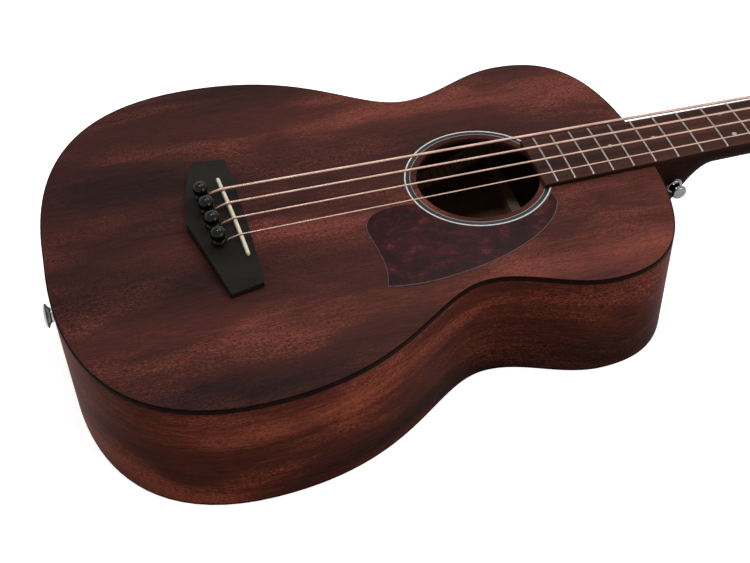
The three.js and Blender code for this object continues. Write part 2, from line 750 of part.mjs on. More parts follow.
function saddleBlade() {
  const { length, thickness, edge } = saddle;
  const steps = range(fretboard.steps + 1).map((i) => lerp(-length / 2, length / 2, i / fretboard.steps));
  const crown = (along) => fretTop(along) + strings.heightAtSaddle - seam - edge;
  const shape = new THREE.Shape([
    ...steps.map((along) => v2(along * (1 - (2 * edge) / length), crown(along))),
    v2(length / 2 - edge, saddleFloor + edge),
    v2(-length / 2 + edge, saddleFloor + edge),
  ]);
  return new THREE.ExtrudeGeometry(shape, {
    depth: thickness - 2 * edge,
    bevelThickness: edge,
    bevelSize: edge,
    bevelSegments: 1,
  })
    .translate(0, 0, -thickness / 2 + edge)
    .rotateX(Math.PI / 2)
    .rotateZ(saddleTurn)
    .translate(-saddle.x, 0, 0);
}

function bridgePin() {
  const { shaftTop, shaftTip, length, collar, collarHeight, waist, ball, ballCentre, ballSteps } = pin;
  const base = collarHeight / 4;
  const lowest = Math.acos((ballCentre - collarHeight - base) / ball);
  const rounds = range(ballSteps + 1).map((i) => {
    const angle = lerp(Number.isFinite(lowest) ? lowest : 0, Math.PI, i / ballSteps);
    const radius = Math.max(ball * Math.sin(angle), i === ballSteps ? 0 : waist);
    return [radius, ballCentre - ball * Math.cos(angle)];
  });
  return turned([
    [0, -length],
    [shaftTip, -length],
    [shaftTop, 0],
    [collar - base, 0],
    [collar, base],
    [collar, collarHeight - base],
    [waist, collarHeight],
    ...rounds,
  ]);
}

function bridgeGroup() {
  piece(shell, "bridge", bridgeBody(), ebony);
  piece(shell, "saddle", saddleBlade(), bone);
  strings.names.forEach((name, i) => {
    const { x, y } = pinAt(i);
    const made = bridgePin().translate(x, y, seam + bridgeTop(Math.abs(y) - pin.collar));
    piece(shell, `bridge_pin_${name}`, made, blackPlastic);
  });
}

const boardHalf = (x) =>
  lerp(fretboard.endWidth, fretboard.nutWidth, (x - boardEndX) / (nutX - boardEndX)) / 2;

function fingerboard() {
  const { steps } = fretboard;
  const row = (x) => {
    const half = boardHalf(x);
    const top = range(steps + 1).map((i) => {
      const y = lerp(-half, half, i / steps);
      return v3(x, y, boardTop - crownDrop(y));
    });
    return [v3(x, half, seam), v3(x, -half, seam), ...top];
  };
  const frets = range(scale.frets).map((i) => {
    const x = fretX(i + 1);
    const half = boardHalf(x) - fret.inset;
    const rows = range(fret.spans + 1).map((j) => {
      const y = lerp(-half, half, j / fret.spans);
      const base = boardTop - crownDrop(y);
      return [
        v3(x - fret.width / 2, y, base - fret.sunk),
        v3(x - fret.width / 4, y, base + fret.height),
        v3(x + fret.width / 4, y, base + fret.height),
        v3(x + fret.width / 2, y, base - fret.sunk),
      ];
    });
    return solid(loft(rows));
  });
  return wasm.Manifold.union([solid(loft([row(boardEndX), row(nutX - seam)])), ...frets]);
}

function stringNut() {
  const half = fretboard.nutWidth / 2;
  const top = (y) => fretTop(y) + strings.heightAtNut + Math.max(...strings.diameters) / 2 + nut.aboveStrings;
  const outline = [v2(-half, seam), v2(half, seam), v2(half, top(half))];
  range(stringCount).forEach((i) => {
    const { y, z } = stringAtNut(i);
    const gap = stringRadius(i) + seam;
    const floor = z - gap;
    outline.push(v2(y + gap, top(y + gap)), v2(y + gap, floor));
    outline.push(v2(y - gap, floor), v2(y - gap, top(y - gap)));
  });
  outline.push(v2(-half, top(half)));
  return extrude(new THREE.Shape(outline), nut.length - seam)
    .rotateX(Math.PI / 2)
    .rotateZ(Math.PI / 2)
    .translate(nutX, 0, 0);
}

function neckBlank() {
  const row = (x, half, top, depth) =>
    range(neck.steps + 1).map((j) => {
      const angle = (Math.PI * j) / neck.steps;
      const power = 2 / neck.roundness;
      const across = Math.abs(Math.cos(angle)) ** power * Math.sign(Math.cos(angle));
      return v3(x, half * across, top - depth * Math.max(Math.sin(angle), 0) ** power);
    });
  const heelDepth = body.neckDepth - neck.heelClear;
  const depthNear = (x) => lerp(neck.depthAtHeel, neck.depthAtNut, (x - endX) / (nutX - endX));
  const heelRows = heelStationShares.map((share) => {
    const x = endX + share * neck.heelReach;
    const drop = Math.sin(((1 - share) * Math.PI) / 2) ** heelCurve;
    return row(x, boardHalf(x), 0, lerp(depthNear(x), heelDepth, drop));
  });
  const inside = row(endX - overrun, boardHalf(endX), 0, heelDepth);
  const half = fretboard.nutWidth / 2;
  const atHead = row(headX, half, 0, neck.depthAtNut);
  const volute = [1 / 3, 1].map((share) => {
    const run = share * head.voluteReach;
    const top = -run * Math.tan(radians(head.angle)) - clearance;
    const depth = lerp(neck.depthAtNut, head.thickness / 2, share ** 0.6);
    return row(headX + run, half * (1 - share / 4), top, depth);
  });
  const blank = solid(loft([inside, ...heelRows, row(nutX, half, 0, neck.depthAtNut), atHead, ...volute]));
  const envelope = extrude(new THREE.Shape(rimLoop(-seam)), body.tailDepth + 2 * overrun);
  return blank.subtract(solid(envelope.translate(0, 0, -body.tailDepth - overrun)));
}

function headBlank() {
  const { length, thickness, shoulder, shoulderWidth, topWidth, crownRise } = head;
  const [start, wide, top] = [fretboard.nutWidth / 2, shoulderWidth / 2, topWidth / 2];
  const shape = new THREE.Shape().moveTo(0, -start);
  shape.bezierCurveTo(shoulder / 3, -start, shoulder / 2.2, -wide, shoulder, -wide);
  shape.lineTo(length - crownRise, -top);
  shape.bezierCurveTo(length - crownRise / 2, -top, length, -top / 1.6, length, 0);
  shape.bezierCurveTo(length, top / 1.6, length - crownRise / 2, top, length - crownRise, top);
  shape.lineTo(shoulder, wide);
  shape.bezierCurveTo(shoulder / 2.2, wide, shoulder / 3, start, 0, start);
  return solid(
    extrude(shape, thickness, 8)
      .translate(0, 0, -thickness)
      .rotateY(radians(head.angle))
      .translate(headX, 0, 0),
  );
}

// The four tuner stations on the headstock: near posts for the outer strings, far posts for the inner ones.
const tunerStations = strings.names.map((name, i) => ({
  name,
  hand: Math.sign(offCentre(i)),
  x: tuner.fromNut + (i === 0 || i === stringCount - 1 ? 0 : tuner.spacing),
  y: (Math.sign(offCentre(i)) * tuner.width) / 2,
}));

function neckPiece() {
  const { radius } = rod;
  const floor = rodLevel + radius + clearance;
  const channelLength = rodEndX + overrun - (endX - overrun);
  const channel = block(
    channelLength,
    2 * (radius + clearance),
    floor + overrun,
    endX - overrun + channelLength / 2,
    0,
    (overrun - floor) / 2,
  );
  const holes = tunerStations.map(({ x, y }) =>
    solid(
      rod3(bushing.radius + seam, -head.thickness - overrun, overrun, bushing.steps)
        .translate(x, y, 0)
        .rotateY(radians(head.angle))
        .translate(headX, 0, 0),
    ),
  );
  const { fromBody, level: buttonLevel, seat } = heelButton;
  const x = endX + fromBody;
  const spot = rod3(washer.heelRadius + clearance, -seat - neck.depthAtHeel, -seat, shaftSteps, "y");
  const { screw, screwLength } = strapButton;
  const pilot = rod3(screw + seam, -seat - overrun, -seat + screwLength + seam, shaftSteps, "y");
  return neckBlank()
    .add(headBlank())
    .subtract(solid(channel))
    .subtract(wasm.Manifold.union(holes))
    .subtract(solid(spot.translate(x, 0, -buttonLevel)))
    .subtract(solid(pilot.translate(x, 0, -buttonLevel)));
}

function trussRod() {
  const nutEnd = neckBlockX - rodNut.fromBlock;
  const from = nutEnd - rod.insideNut + clearance;
  const lying = (geometry) => geometry.rotateY(Math.PI / 2).translate(0, 0, -rodLevel);
  piece(neckGroup, "truss_rod", lying(rod3(rod.radius, from, rodEndX, 12)), steel);
  const bore = rod3(rod.radius + clearance / 2, -rod.insideNut, overrun);
  const { socket: flats, socketDepth, length } = rodNut;
  const socket = rod3((flats / 2) * hexCornerShare, -length - overrun, socketDepth - length, 6);
  const barrel = solid(rod3(rodNut.radius, -length, 0)).subtract(solid(bore)).subtract(solid(socket));
  const made = lying(geometryOf(barrel)).translate(nutEnd, 0, 0);
  piece(neckGroup, "truss_rod_nut", made, steel);
}

// A strap button with its screw, standing up from z = 0, and its washer below it.
function buttonProfile({ base, waist, cap, height, capHeight, screw, screwLength }) {
  const edge = capHeight / 3;
  return [
    [0, -screwLength],
    [screw, -screwLength + 2 * screw],
    [screw, 0],
    [base, 0],
    [base, edge],
    [waist, height / 2],
    [waist, height - capHeight - edge],
    [cap, height - capHeight + edge],
    [cap, height - edge],
    [cap - edge, height],
    [0, height],
  ];
}

function strapButtons() {
  const low = washer.thickness + seam;
  const heel = group(neckGroup, "heel_button_frame");
  heel.position.set(endX + heelButton.fromBody, -heelButton.seat - seam, -heelButton.level);
  heel.rotation.x = Math.PI / 2;
  const heelRing = washerRing(strapButton.screw + seam, washer.heelRadius, 0, washer.thickness, shaftSteps);
  piece(heel, "heel_button", turned(buttonProfile(strapButton)).translate(0, 0, low), chrome);
  piece(heel, "heel_button_washer", heelRing, felt);
  const tail = group(shell, "tail_button_frame");
  tail.position.set(tailX - seam, 0, -tailButton.level);
  tail.rotation.y = -Math.PI / 2;
  const tailRing = washerRing(endPin.screw + seam, washer.tailRadius, 0, washer.thickness, 16);
  piece(tail, "tail_button", turned(buttonProfile(endPin)).translate(0, 0, low), chrome);
  piece(tail, "tail_button_washer", tailRing, felt);
}

// Tuner: the post stands on z, and the worm lies along y, nearer to the nut than the post.
const pitch = Math.PI * gear.module;
const gearRadius = (gear.teeth * gear.module) / 2;
const addendum = gear.addendumShare * gear.module;
const dedendum = gear.dedendumShare * gear.module;
const toothHalf = (pitch / 2 - gear.backlash) / 2;
const flankSlope = Math.tan(radians(gear.flank));
const wormFromPost = gearRadius + worm.pitchRadius;
const wormTip = worm.pitchRadius + addendum;
const wormRoot = worm.pitchRadius - dedendum;
const plateBottom = -(head.thickness + seam + tunerPlate.thickness);
const wormLevel = plateBottom - clearance - wormTip;
const threadHalf = (worm.turns * pitch) / 2 + toothHalf + flankSlope * dedendum;
const lugInner = threadHalf + lug.fromThread;
const lugOuter = lugInner + lug.thickness;

function gearWheel() {
  const leadSlope = pitch / (2 * Math.PI * worm.pitchRadius);
  const corners = [
    [gearRadius - dedendum, -(toothHalf + flankSlope * dedendum)],
    [gearRadius + addendum, -(toothHalf - flankSlope * addendum)],
    [gearRadius + addendum, toothHalf - flankSlope * addendum],
    [gearRadius - dedendum, toothHalf + flankSlope * dedendum],
  ];
  const rows = [-1, 1].map((share) => {
    const height = (share * gearFace) / 2;
    const twist = (leadSlope * height) / gearRadius;
    return range(gear.teeth).flatMap((tooth) =>
      corners.map(([radius, half]) => {
        const angle = Math.PI + (2 * Math.PI * tooth) / gear.teeth + half / radius + twist;
        return v3(radius * Math.cos(angle), radius * Math.sin(angle), wormLevel + height);
      }),
    );
  });
  return solid(loft(rows));
}

function postPiece(slotAngle) {
  const { radius, waist, waistFrom, waistTo, neckRise, top, topEdge, slot, slotFloor, belowGear } = post;
  const gearTop = wormLevel + gearFace / 2;
  const gearBottom = wormLevel - gearFace / 2;
  const shaft = turned([
    [0, gearBottom - belowGear],
    [radius, gearBottom - belowGear],
    [radius, gearTop],
    [hub.radius, gearTop],
    [hub.radius, plateBottom - hub.gap],
    [radius, plateBottom - hub.gap],
    [radius, waistFrom - neckRise],
    [waist, waistFrom],
    [waist, waistTo],
    [radius, waistTo + neckRise],
    [radius, top - topEdge],
    [radius - topEdge, top],
    [0, top],
  ]);
  const cut = block(2 * (radius + overrun), slot, top, 0, 0, slotFloor + top / 2).rotateZ(slotAngle);
  return solid(shaft).add(gearWheel()).subtract(solid(cut));
}

function keyPiece() {
  const { journal, collar, collarLength, neck: neckRadius, neckLength, play } = keyShaft;
  const { radius, lobe, lobes, thickness, edge, steps } = keyPaddle;
  const neckFrom = lugOuter + play;
  const paddleFrom = neckFrom + neckLength;
  const shaft = turned(
    [
      [0, -(lugOuter + play + collarLength)],
      [collar, -(lugOuter + play + collarLength)],
      [collar, -(lugOuter + play)],
      [journal, -(lugOuter + play)],
      [journal, -(lugInner - play)],
      [wormRoot, -(lugInner - play)],
      [wormRoot, lugInner - play],
      [journal, lugInner - play],
      [journal, neckFrom],
      [neckRadius, neckFrom],
      [neckRadius, neckFrom + neckLength / 3],
      [journal, paddleFrom],
      [journal, paddleFrom + radius],
      [0, paddleFrom + radius],
    ],
    shaftSteps,
    "y",
  );
  const inner = wormRoot - worm.fused;
  const section = [
    [inner, -(toothHalf + flankSlope * (worm.pitchRadius - inner))],
    [wormTip, -(toothHalf - flankSlope * addendum)],
    [wormTip, toothHalf - flankSlope * addendum],
    [inner, toothHalf + flankSlope * (worm.pitchRadius - inner)],
  ];
  const start = -worm.turns / 2;
  const thread = range(worm.turns * worm.steps + 1).map((i) => {
    const along = start + i / worm.steps;
    const angle = 2 * Math.PI * (along - 1 / 4);
    return section.map(([r, half]) => v3(r * Math.sin(angle), along * pitch + half, r * Math.cos(angle)));
  });
  const outline = range(steps).map((i) => {
    const angle = (2 * Math.PI * i) / steps;
    const r = (radius - edge) * (1 + lobe * Math.cos(lobes * angle));
    return v2(r * Math.sin(angle), paddleFrom + radius * (1 - lobe / 2) + r * Math.cos(angle));
  });
  const paddle = new THREE.ExtrudeGeometry(new THREE.Shape(outline), {
    depth: thickness - 2 * edge,
    bevelThickness: edge,
    bevelSize: edge,
    bevelSegments: 1,
  }).translate(0, 0, -thickness / 2 + edge);
  return solid(shaft).add(solid(loft(thread))).add(solid(paddle));
}

function platePiece() {
  const { thickness, width, corner, beyondPost, beyondWorm } = tunerPlate;
  const [near, far, half] = [-(wormFromPost + beyondWorm), beyondPost, width / 2];
  const shape = new THREE.Shape().moveTo(near + corner, -half);
  shape.lineTo(far - corner, -half).absarc(far - corner, -half + corner, corner, -Math.PI / 2, 0);
  shape.lineTo(far, half - corner).absarc(far - corner, half - corner, corner, 0, Math.PI / 2);
  shape.lineTo(near + corner, half).absarc(near + corner, half - corner, corner, Math.PI / 2, Math.PI);
  shape.lineTo(near, -half + corner).absarc(near + corner, -half + corner, corner, Math.PI, 1.5 * Math.PI);
  const bottom = wormLevel - lug.below;
  const height = plateBottom + thickness / 2 - bottom;
  const lugs = [-1, 1].map((side) => {
    const y = (side * (lugInner + lugOuter)) / 2;
    return solid(block(lug.width, lug.thickness, height, -wormFromPost, y, bottom + height / 2));
  });
  const bearing = rod3(keyShaft.journal + keyShaft.play, -width, width, shaftSteps, "y");
  const postHole = rod3(post.radius + clearance, plateBottom - overrun, plateBottom + thickness + overrun);
  return solid(extrude(shape, thickness, 3).translate(0, 0, plateBottom))
    .add(wasm.Manifold.union(lugs))
    .subtract(solid(bearing.translate(-wormFromPost, 0, wormLevel)))
    .subtract(solid(postHole));
}

function bushingPiece() {
  const { radius, flange, flangeHeight, play, fromBack, steps } = bushing;
  const inner = (post.radius + play) / Math.cos(Math.PI / steps); // so that the flats clear the post
  return turned(
    [
      [inner, -head.thickness + fromBack],
      [radius, -head.thickness + fromBack],
      [radius, seam],
      [flange, seam],
      [flange, seam + flangeHeight / 2],
      [flange - flangeHeight / 2, seam + flangeHeight],
      [inner, seam + flangeHeight],
      [inner, -head.thickness + fromBack],
    ],
    steps,
  );
}

// The coil of string i on its post, in the post's frame: it starts where the string meets it, climbs the
// waist and turns into the slot. Also gives the angle of that slot and the point where the string arrives.
function coil(i) {
  const { hand, x, y } = tunerStations[i];
  const radius = stringRadius(i);
  const turns = winding.turns[i];
  const coilRadius = post.waist + winding.fromPost + radius;
  const bottom = post.waistFrom + winding.fromPost + radius;
  const top = post.slotFloor + winding.gap + radius;
  const leaves = v3(headX, offCentre(i) * strings.spacingAtNut, 0);
  const away = v2(leaves.x - headX - x, leaves.y - y);
  const meet = Math.atan2(away.y, away.x) + hand * Math.acos(coilRadius / away.length());
  const at = (share, r = coilRadius) => {
    const angle = meet + hand * share * turns * 2 * Math.PI;
    return v3(r * Math.cos(angle), r * Math.sin(angle), lerp(bottom, top, share));
  };
  const count = Math.round(turns * winding.steps);
  const path = range(count + 1).map((k) => at(k / count));
  path.push(at(1, coilRadius - radius - winding.fromPost), at(1, winding.intoSlot));
  return { path, radius, slotAngle: meet + hand * turns * 2 * Math.PI, arrives: at(0) };
}

function leastGap({ path, radius }) {
  const turn = path.slice(0, -2);
  const far = winding.steps / 2;
  const gaps = turn.flatMap((p, i) => turn.slice(i + far).map((q) => p.distanceTo(q)));
  return Math.min(...gaps) - 2 * radius;
}

function tuners() {
  tunerStations.forEach(({ name, hand, x, y }, i) => {
    const frame = group(headGroup, `tuner_${name}_frame`);
    frame.position.set(x, y, 0);
    const handed = (made) => geometryOf(made).scale(1, hand, 1);
    const wound = coil(i);
    const key = handed(keyPiece()).translate(-wormFromPost, 0, wormLevel);
    piece(frame, `tuner_plate_${name}`, handed(platePiece()), nickel);
    piece(frame, `tuner_key_${name}`, key, chrome);
    piece(frame, `tuner_post_${name}`, handed(postPiece(hand * wound.slotAngle)), chrome);
    piece(frame, `tuner_bushing_${name}`, bushingPiece(), chrome);
    piece(frame, `string_winding_${name}`, tube(wound.path, wound.radius, winding.sides), bronze);
    console.log(`string ${name}: the least gap of its winding to itself is ${leastGap(wound).toFixed(2)} mm`);
  });
}

function stringPieces() {
  headGroup.updateMatrix();
  strings.names.forEach((name, i) => {
    const radius = stringRadius(i);
    const { x, y } = pinAt(i);
    const [atSaddle, atNut] = [stringAtSaddle(i), stringAtNut(i)];
    const standX = x + stringFromPin;
    const plateUnder = underTop - bridgePlate.thickness;
    const ballTop = plateUnder - seam;
    const station = tunerStations[i];
    const arrives = coil(i).arrives.add(v3(station.x, station.y, 0)).applyMatrix4(headGroup.matrix);
    const slope = (px) => lerp(atSaddle.z, atNut.z, (px - atSaddle.x) / (atNut.x - atSaddle.x));
    const cross = (px) => lerp(atSaddle.y, atNut.y, (px - atSaddle.x) / (atNut.x - atSaddle.x));
    const leave = v3(headX - clearance, cross(headX), slope(headX));
    const stop = arrives.clone().sub(leave);
    stop.setLength(stop.length() - clearance).add(leave);
    const path = [
      v3(standX, y, ballTop - strings.ballRadius),
      v3(standX, y, seam + bridge.height + radius + clearance),
      v3(atSaddle.x - saddle.thickness / 2, atSaddle.y, atSaddle.z),
      leave,
      stop,
    ];
    const ball = new THREE.SphereGeometry(strings.ballRadius, 10, 6);
    ball.translate(standX, y, ballTop - strings.ballRadius);
    const made = solid(tube(path, radius, strings.sides)).add(solid(ball));
    piece(shell, `string_${name}`, made, bronze);
  });
}

piece(shell, "soundboard", soundboard(), woodTop);
piece(shell, "back", back(), woodSide);
ribs();
bindings();
linings();
blocks();
topBraces();
backBraces();
soundholeTrim();
bridgeGroup();
piece(neckGroup, "neck", neckPiece(), woodNeck);
piece(neckGroup, "fretboard", fingerboard(), rosewood);
piece(neckGroup, "nut", stringNut(), bone);
trussRod();
strapButtons();
tuners();
stringPieces();

export default instrument;
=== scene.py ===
"""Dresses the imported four-string acoustic bass guitar and sets its studio.

Lengths are in millimetres in the frame of whatever they belong to. The deck is the soundboard's plane: its x
runs from under the saddle to the head, its y to the low string and its z up. DECK turns it into row metres.
"""

from __future__ import annotations

import logging
import math
from dataclasses import dataclass
from enum import Enum
from functools import cached_property
from typing import Callable, Sequence, Union

import bmesh
import bpy
from mathutils import Matrix, Vector


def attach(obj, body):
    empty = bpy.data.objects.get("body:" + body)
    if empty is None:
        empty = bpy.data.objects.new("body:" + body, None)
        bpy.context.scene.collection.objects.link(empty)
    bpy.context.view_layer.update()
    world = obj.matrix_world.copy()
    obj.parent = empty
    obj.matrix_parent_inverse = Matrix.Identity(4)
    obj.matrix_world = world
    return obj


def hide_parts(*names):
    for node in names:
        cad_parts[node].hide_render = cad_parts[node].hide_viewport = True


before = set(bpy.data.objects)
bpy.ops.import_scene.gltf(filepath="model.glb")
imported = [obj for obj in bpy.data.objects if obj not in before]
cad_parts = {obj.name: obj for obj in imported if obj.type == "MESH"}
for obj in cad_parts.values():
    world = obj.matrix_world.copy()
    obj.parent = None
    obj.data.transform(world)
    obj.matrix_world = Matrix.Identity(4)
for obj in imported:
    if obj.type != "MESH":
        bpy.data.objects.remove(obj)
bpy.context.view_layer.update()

log = logging.getLogger("acoustic_bass")
Ring = list[Vector]
Number = Union[float, "Value"]
Stops = tuple[tuple[float, int], ...]
Pairs = tuple[tuple[float, float], ...]
Height = Callable[[float], float]  # from an x on the deck

# SEAM is the gap between pieces that are glued or set in, CLEARANCE the gap that strings and worms keep.
SEAM = 0.1
CLEARANCE = 0.3
UNIT = 0.001


def lerp(a: float, b: float, share: float) -> float:
    """Returns the number at a share of the way from a to b."""
    return a + (b - a) * share


def paint(code: int) -> tuple[float, float, float, float]:
    """Turns a screen colour into the linear colour that a shader takes.

    Args:
        code: the colour as 0xRRGGBB.

    Returns:
        Its linear red, green, blue and alpha.
    """
    shares = [(code >> shift & 255) / 255 for shift in (16, 8, 0)]
    linear = [s / 12.92 if s <= 0.04045 else ((s + 0.055) / 1.055) ** 2.4 for s in shares]
    return (linear[0], linear[1], linear[2], 1.0)


def plane(x: float, y: float) -> Vector:
    """Returns a point of a plan."""
    return Vector((x, y))


def lift(point: Vector, height: float) -> Vector:
    """Returns a plan's point at a height."""
    return Vector((point.x, point.y, height))


def polar(radius: float, turn: float, height: float) -> Vector:
    """Returns the point at an angle round z, given in radians."""
    return Vector((radius * math.cos(turn), radius * math.sin(turn), height))


# ---- shader expressions ----


class Value:
    """One output inside a material's tree, with arithmetic."""

    def __init__(self, tree: Tree, socket: bpy.types.NodeSocket) -> None:
        """Wraps a socket of a tree."""
        self.tree = tree
        self.socket = socket

    def math(self, operation: str, *others: Number) -> Value:
        """Returns the result of a Math node on this and other values."""
        inputs = dict(enumerate((self, *others)))
        return self.tree.node("ShaderNodeMath", inputs, operation=operation)

    def __add__(self, other: Number) -> Value:
        """Adds."""
        return self.math("ADD", other)

    __radd__ = __add__

    def __sub__(self, other: Number) -> Value:
        """Subtracts."""
        return self.math("SUBTRACT", other)

    def __rsub__(self, other: float) -> Value:
        """Subtracts from a number."""
        return self.math("MULTIPLY", -1.0).math("ADD", other)

    def __mul__(self, other: Number) -> Value:
        """Multiplies."""
        return self.math("MULTIPLY", other)

    __rmul__ = __mul__

    def __lt__(self, other: Number) -> Value:
        """Is 1 where this is less than the other."""
        return self.math("LESS_THAN", other)

    def step(self, low: float, high: float) -> Value:
        """Eases from 0 at a low level to 1 at a high one."""
        inputs = {"Value": self, "From Min": low, "From Max": high}
        return self.tree.node("ShaderNodeMapRange", inputs, interpolation_type="SMOOTHSTEP")


class Tree:
    """A node tree under construction, of a material or of the world."""

    def __init__(self, made: bpy.types.NodeTree) -> None:
        """Wraps a tree."""
        self.made = made

    def feed(self, socket: bpy.types.NodeSocket, value: object) -> None:
        """Sets a socket to a constant, or links it to a value."""
        if isinstance(value, Value):
            self.made.links.new(value.socket, socket)
        else:
            socket.default_value = value

    def node(self, kind: str, inputs: dict | None = None, out: int | str = 0, **settings: object) -> Value:
        """Adds any node.

        Args:
            kind: the node's type.
            inputs: constants or values by the name or the number of their socket.
            out: the output that is returned.
            settings: the node's own settings, set before its sockets. stops fills a colour ramp.

        Returns:
            The chosen output.
        """
        made = self.made.nodes.new(kind)
        stops = settings.pop("stops", ())
        for key, value in settings.items():
            setattr(made, key, value)
        for _ in stops[2:]:
            made.color_ramp.elements.new(0.5)
        for i, (place, colour) in enumerate(stops):
            made.color_ramp.elements[i].position = place
            made.color_ramp.elements[i].color = colour
        for key, value in (inputs or {}).items():
            self.feed(made.inputs[key], value)
        return Value(self, made.outputs[out])

    def seen(self) -> Value:
        """Returns a mask that is 1 for rays that look at the background."""
        rays = ("Is Camera Ray", "Is Glossy Ray", "Is Transmission Ray")
        camera, glossy, through = (self.node("ShaderNodeLightPath", out=ray) for ray in rays)
        return camera.math("MAXIMUM", glossy).math("MAXIMUM", through)


class ShaderTree(Tree):
    """A material under construction."""

    def __init__(self, name: str) -> None:
        """Starts a material of the given name with a Principled shader."""
        self.material = bpy.data.materials.new(name)
        self.material.use_nodes = True
        super().__init__(self.material.node_tree)
        self.made.nodes.clear()
        self.shader = self.made.nodes.new("ShaderNodeBsdfPrincipled")
        output = self.made.nodes.new("ShaderNodeOutputMaterial")
        self.made.links.new(self.shader.outputs[0], output.inputs["Surface"])

    def surface(self, **sockets: object) -> None:
        """Feeds the Principled shader. An underscore in a name stands for a space."""
        for key, value in sockets.items():
            self.feed(self.shader.inputs[key.replace("_", " ")], value)

    def place(self, attribute: str | None = None) -> Value:
        """Returns the object's coordinates, or a named attribute of its mesh."""
        if attribute:
            return self.node("ShaderNodeAttribute", out="Vector", attribute_name=attribute)
        return self.node("ShaderNodeTexCoord", out="Object")

    def axis(self, vector: Value, name: str) -> Value:
        """Returns the X, Y or Z part of a vector."""
        return self.node("ShaderNodeSeparateXYZ", {"Vector": vector}, out=name)

    def combine(self, **parts: Value) -> Value:
        """Returns a vector of its X, Y and Z parts."""
        return self.node("ShaderNodeCombineXYZ", parts)

    def vector(self, operation: str, first: Value, second: Value | Sequence[float]) -> Value:
        """Returns two vectors, added or multiplied."""
        return self.node("ShaderNodeVectorMath", {0: first, 1: second}, operation=operation)

    def noise(self, vector: Value, scales: Sequence[float], detail: float = 2.0, **more: float) -> Value:
        """Returns noise, with three numbers of waves per metre."""
        inputs = {"Vector": self.vector("MULTIPLY", vector, scales), "Scale": 1.0, "Detail": detail}
        inputs.update({key.capitalize(): value for key, value in more.items()})
        return self.node("ShaderNodeTexNoise", inputs)

    def ramp(self, factor: Value, *stops: tuple[float, int]) -> Value:
        """Returns the colour of a ramp at a factor."""
        painted = [(place, paint(code)) for place, code in stops]
        return self.node("ShaderNodeValToRGB", {"Fac": factor}, stops=painted)

    def mix(self, factor: Value, *colours: Value | int | tuple) -> Value:
        """Mixes two colours."""
        first, second = (paint(c) if isinstance(c, int) else c for c in colours)
        return self.node("ShaderNodeMix", {0: factor, 6: first, 7: second}, out=2, data_type="RGBA")

    def bump(self, height: Value, depth: float, strength: float) -> Value:
        """Turns a height between 0 and 1 into a normal. The depth is in metres."""
        inputs = {"Height": height, "Distance": depth, "Strength": strength}
        return self.node("ShaderNodeBump", inputs)


# ---- finishes ----


class Grain(Enum):
    """Which coordinates carry a wood's grain along x."""

    ROW = None
    RUN = "grain"


@dataclass(frozen=True)
class Timber:
    """Open-pored wood, satin or bare."""

    name: str
    dark: int
    middle: int
    light: int
    coordinates: Grain = Grain.ROW
    book_matched: bool = False
    shift: float = 0.0
    band: float = 1.0
    ribbon: float = 0.5
    pore: float = 0.5
    contrast: float = 1.0
    roughness: float = 0.5
    specular: float = 0.04
    depth: float = 0.00012
    other_half: tuple[float, float] = (3.52, 3.0)
    wander: tuple[float, float] = (0.022, 0.018)
    joint_half: float = 0.00018

    def grain_place(self, tree: ShaderTree, place: Value) -> Value:
        """Returns the coordinates of the grain, with a slow wander in them.

        Args:
            tree: the material.
            place: the coordinates before the wander.

        Returns:
            The coordinates.
        """
        offset = (self.shift,) * 3
        if self.book_matched:
            other, (x, z) = tree.axis(place, "Y") < 0.0, self.other_half
            offset = tree.combine(X=other * x + self.shift, Z=other * z + self.shift)
        moved = tree.vector("ADD", place, offset)
        slow, (y, z) = tree.noise(moved, (5.0, 8.0, 8.0)) - 0.5, self.wander
        return tree.vector("ADD", moved, tree.combine(Y=slow * y, Z=slow * z))

    def material(self) -> bpy.types.Material:
        """Builds the material."""
        tree, band = ShaderTree(self.name), self.band
        place = tree.place(self.coordinates.value)
        grain = self.grain_place(tree, place)
        broad = tree.noise(grain, (2.0 * band, 13 * band, 13 * band), 1.0, roughness=0.5)
        patch = tree.noise(grain, (9 * band, 27 * band, 27 * band), 2.0, roughness=0.5, distortion=0.5)
        streak = tree.noise(grain, (8 * band, 150 * band, 150 * band), 3.0, roughness=0.6)
        fibre = tree.noise(grain, (70, 900, 900), 3.0, roughness=0.7)
        speck = tree.noise(grain, (420, 800, 800), 3.0, roughness=0.8)
        pores = tree.noise(grain, (150, 2300, 2300)).step(0.56, 0.66) * self.pore
        lit = patch.step(0.34, 0.7)
        tone = (broad - 0.5) * 0.6 + (lit - 0.5) * (0.26 * self.ribbon) + (streak - 0.5) * 0.12
        tone = tone + (fibre - 0.5) * 0.28 + (speck - 0.5) * (lit * 0.85 + 0.15) * (1.9 * self.ribbon)
        tone = tone * self.contrast + 0.5
        colour = tree.ramp(tone, (0.3, self.dark), (0.5, self.middle), (0.74, self.light))
        colour = tree.mix(pores * 0.4, colour, self.dark)
        if self.book_matched:
            joint = tree.axis(place, "Y").math("ABSOLUTE") < self.joint_half
            colour = tree.mix(joint * 0.5, colour, self.dark)
        tree.surface(
            Base_Color=colour,
            Roughness=pores * 0.16 + (fibre * 0.12 + (self.roughness - 0.06)),
            Normal=tree.bump((1.0 - pores) * 0.8 + fibre * 0.2, self.depth, 0.6),
            Specular_IOR_Level=self.specular,
        )
        return tree.material


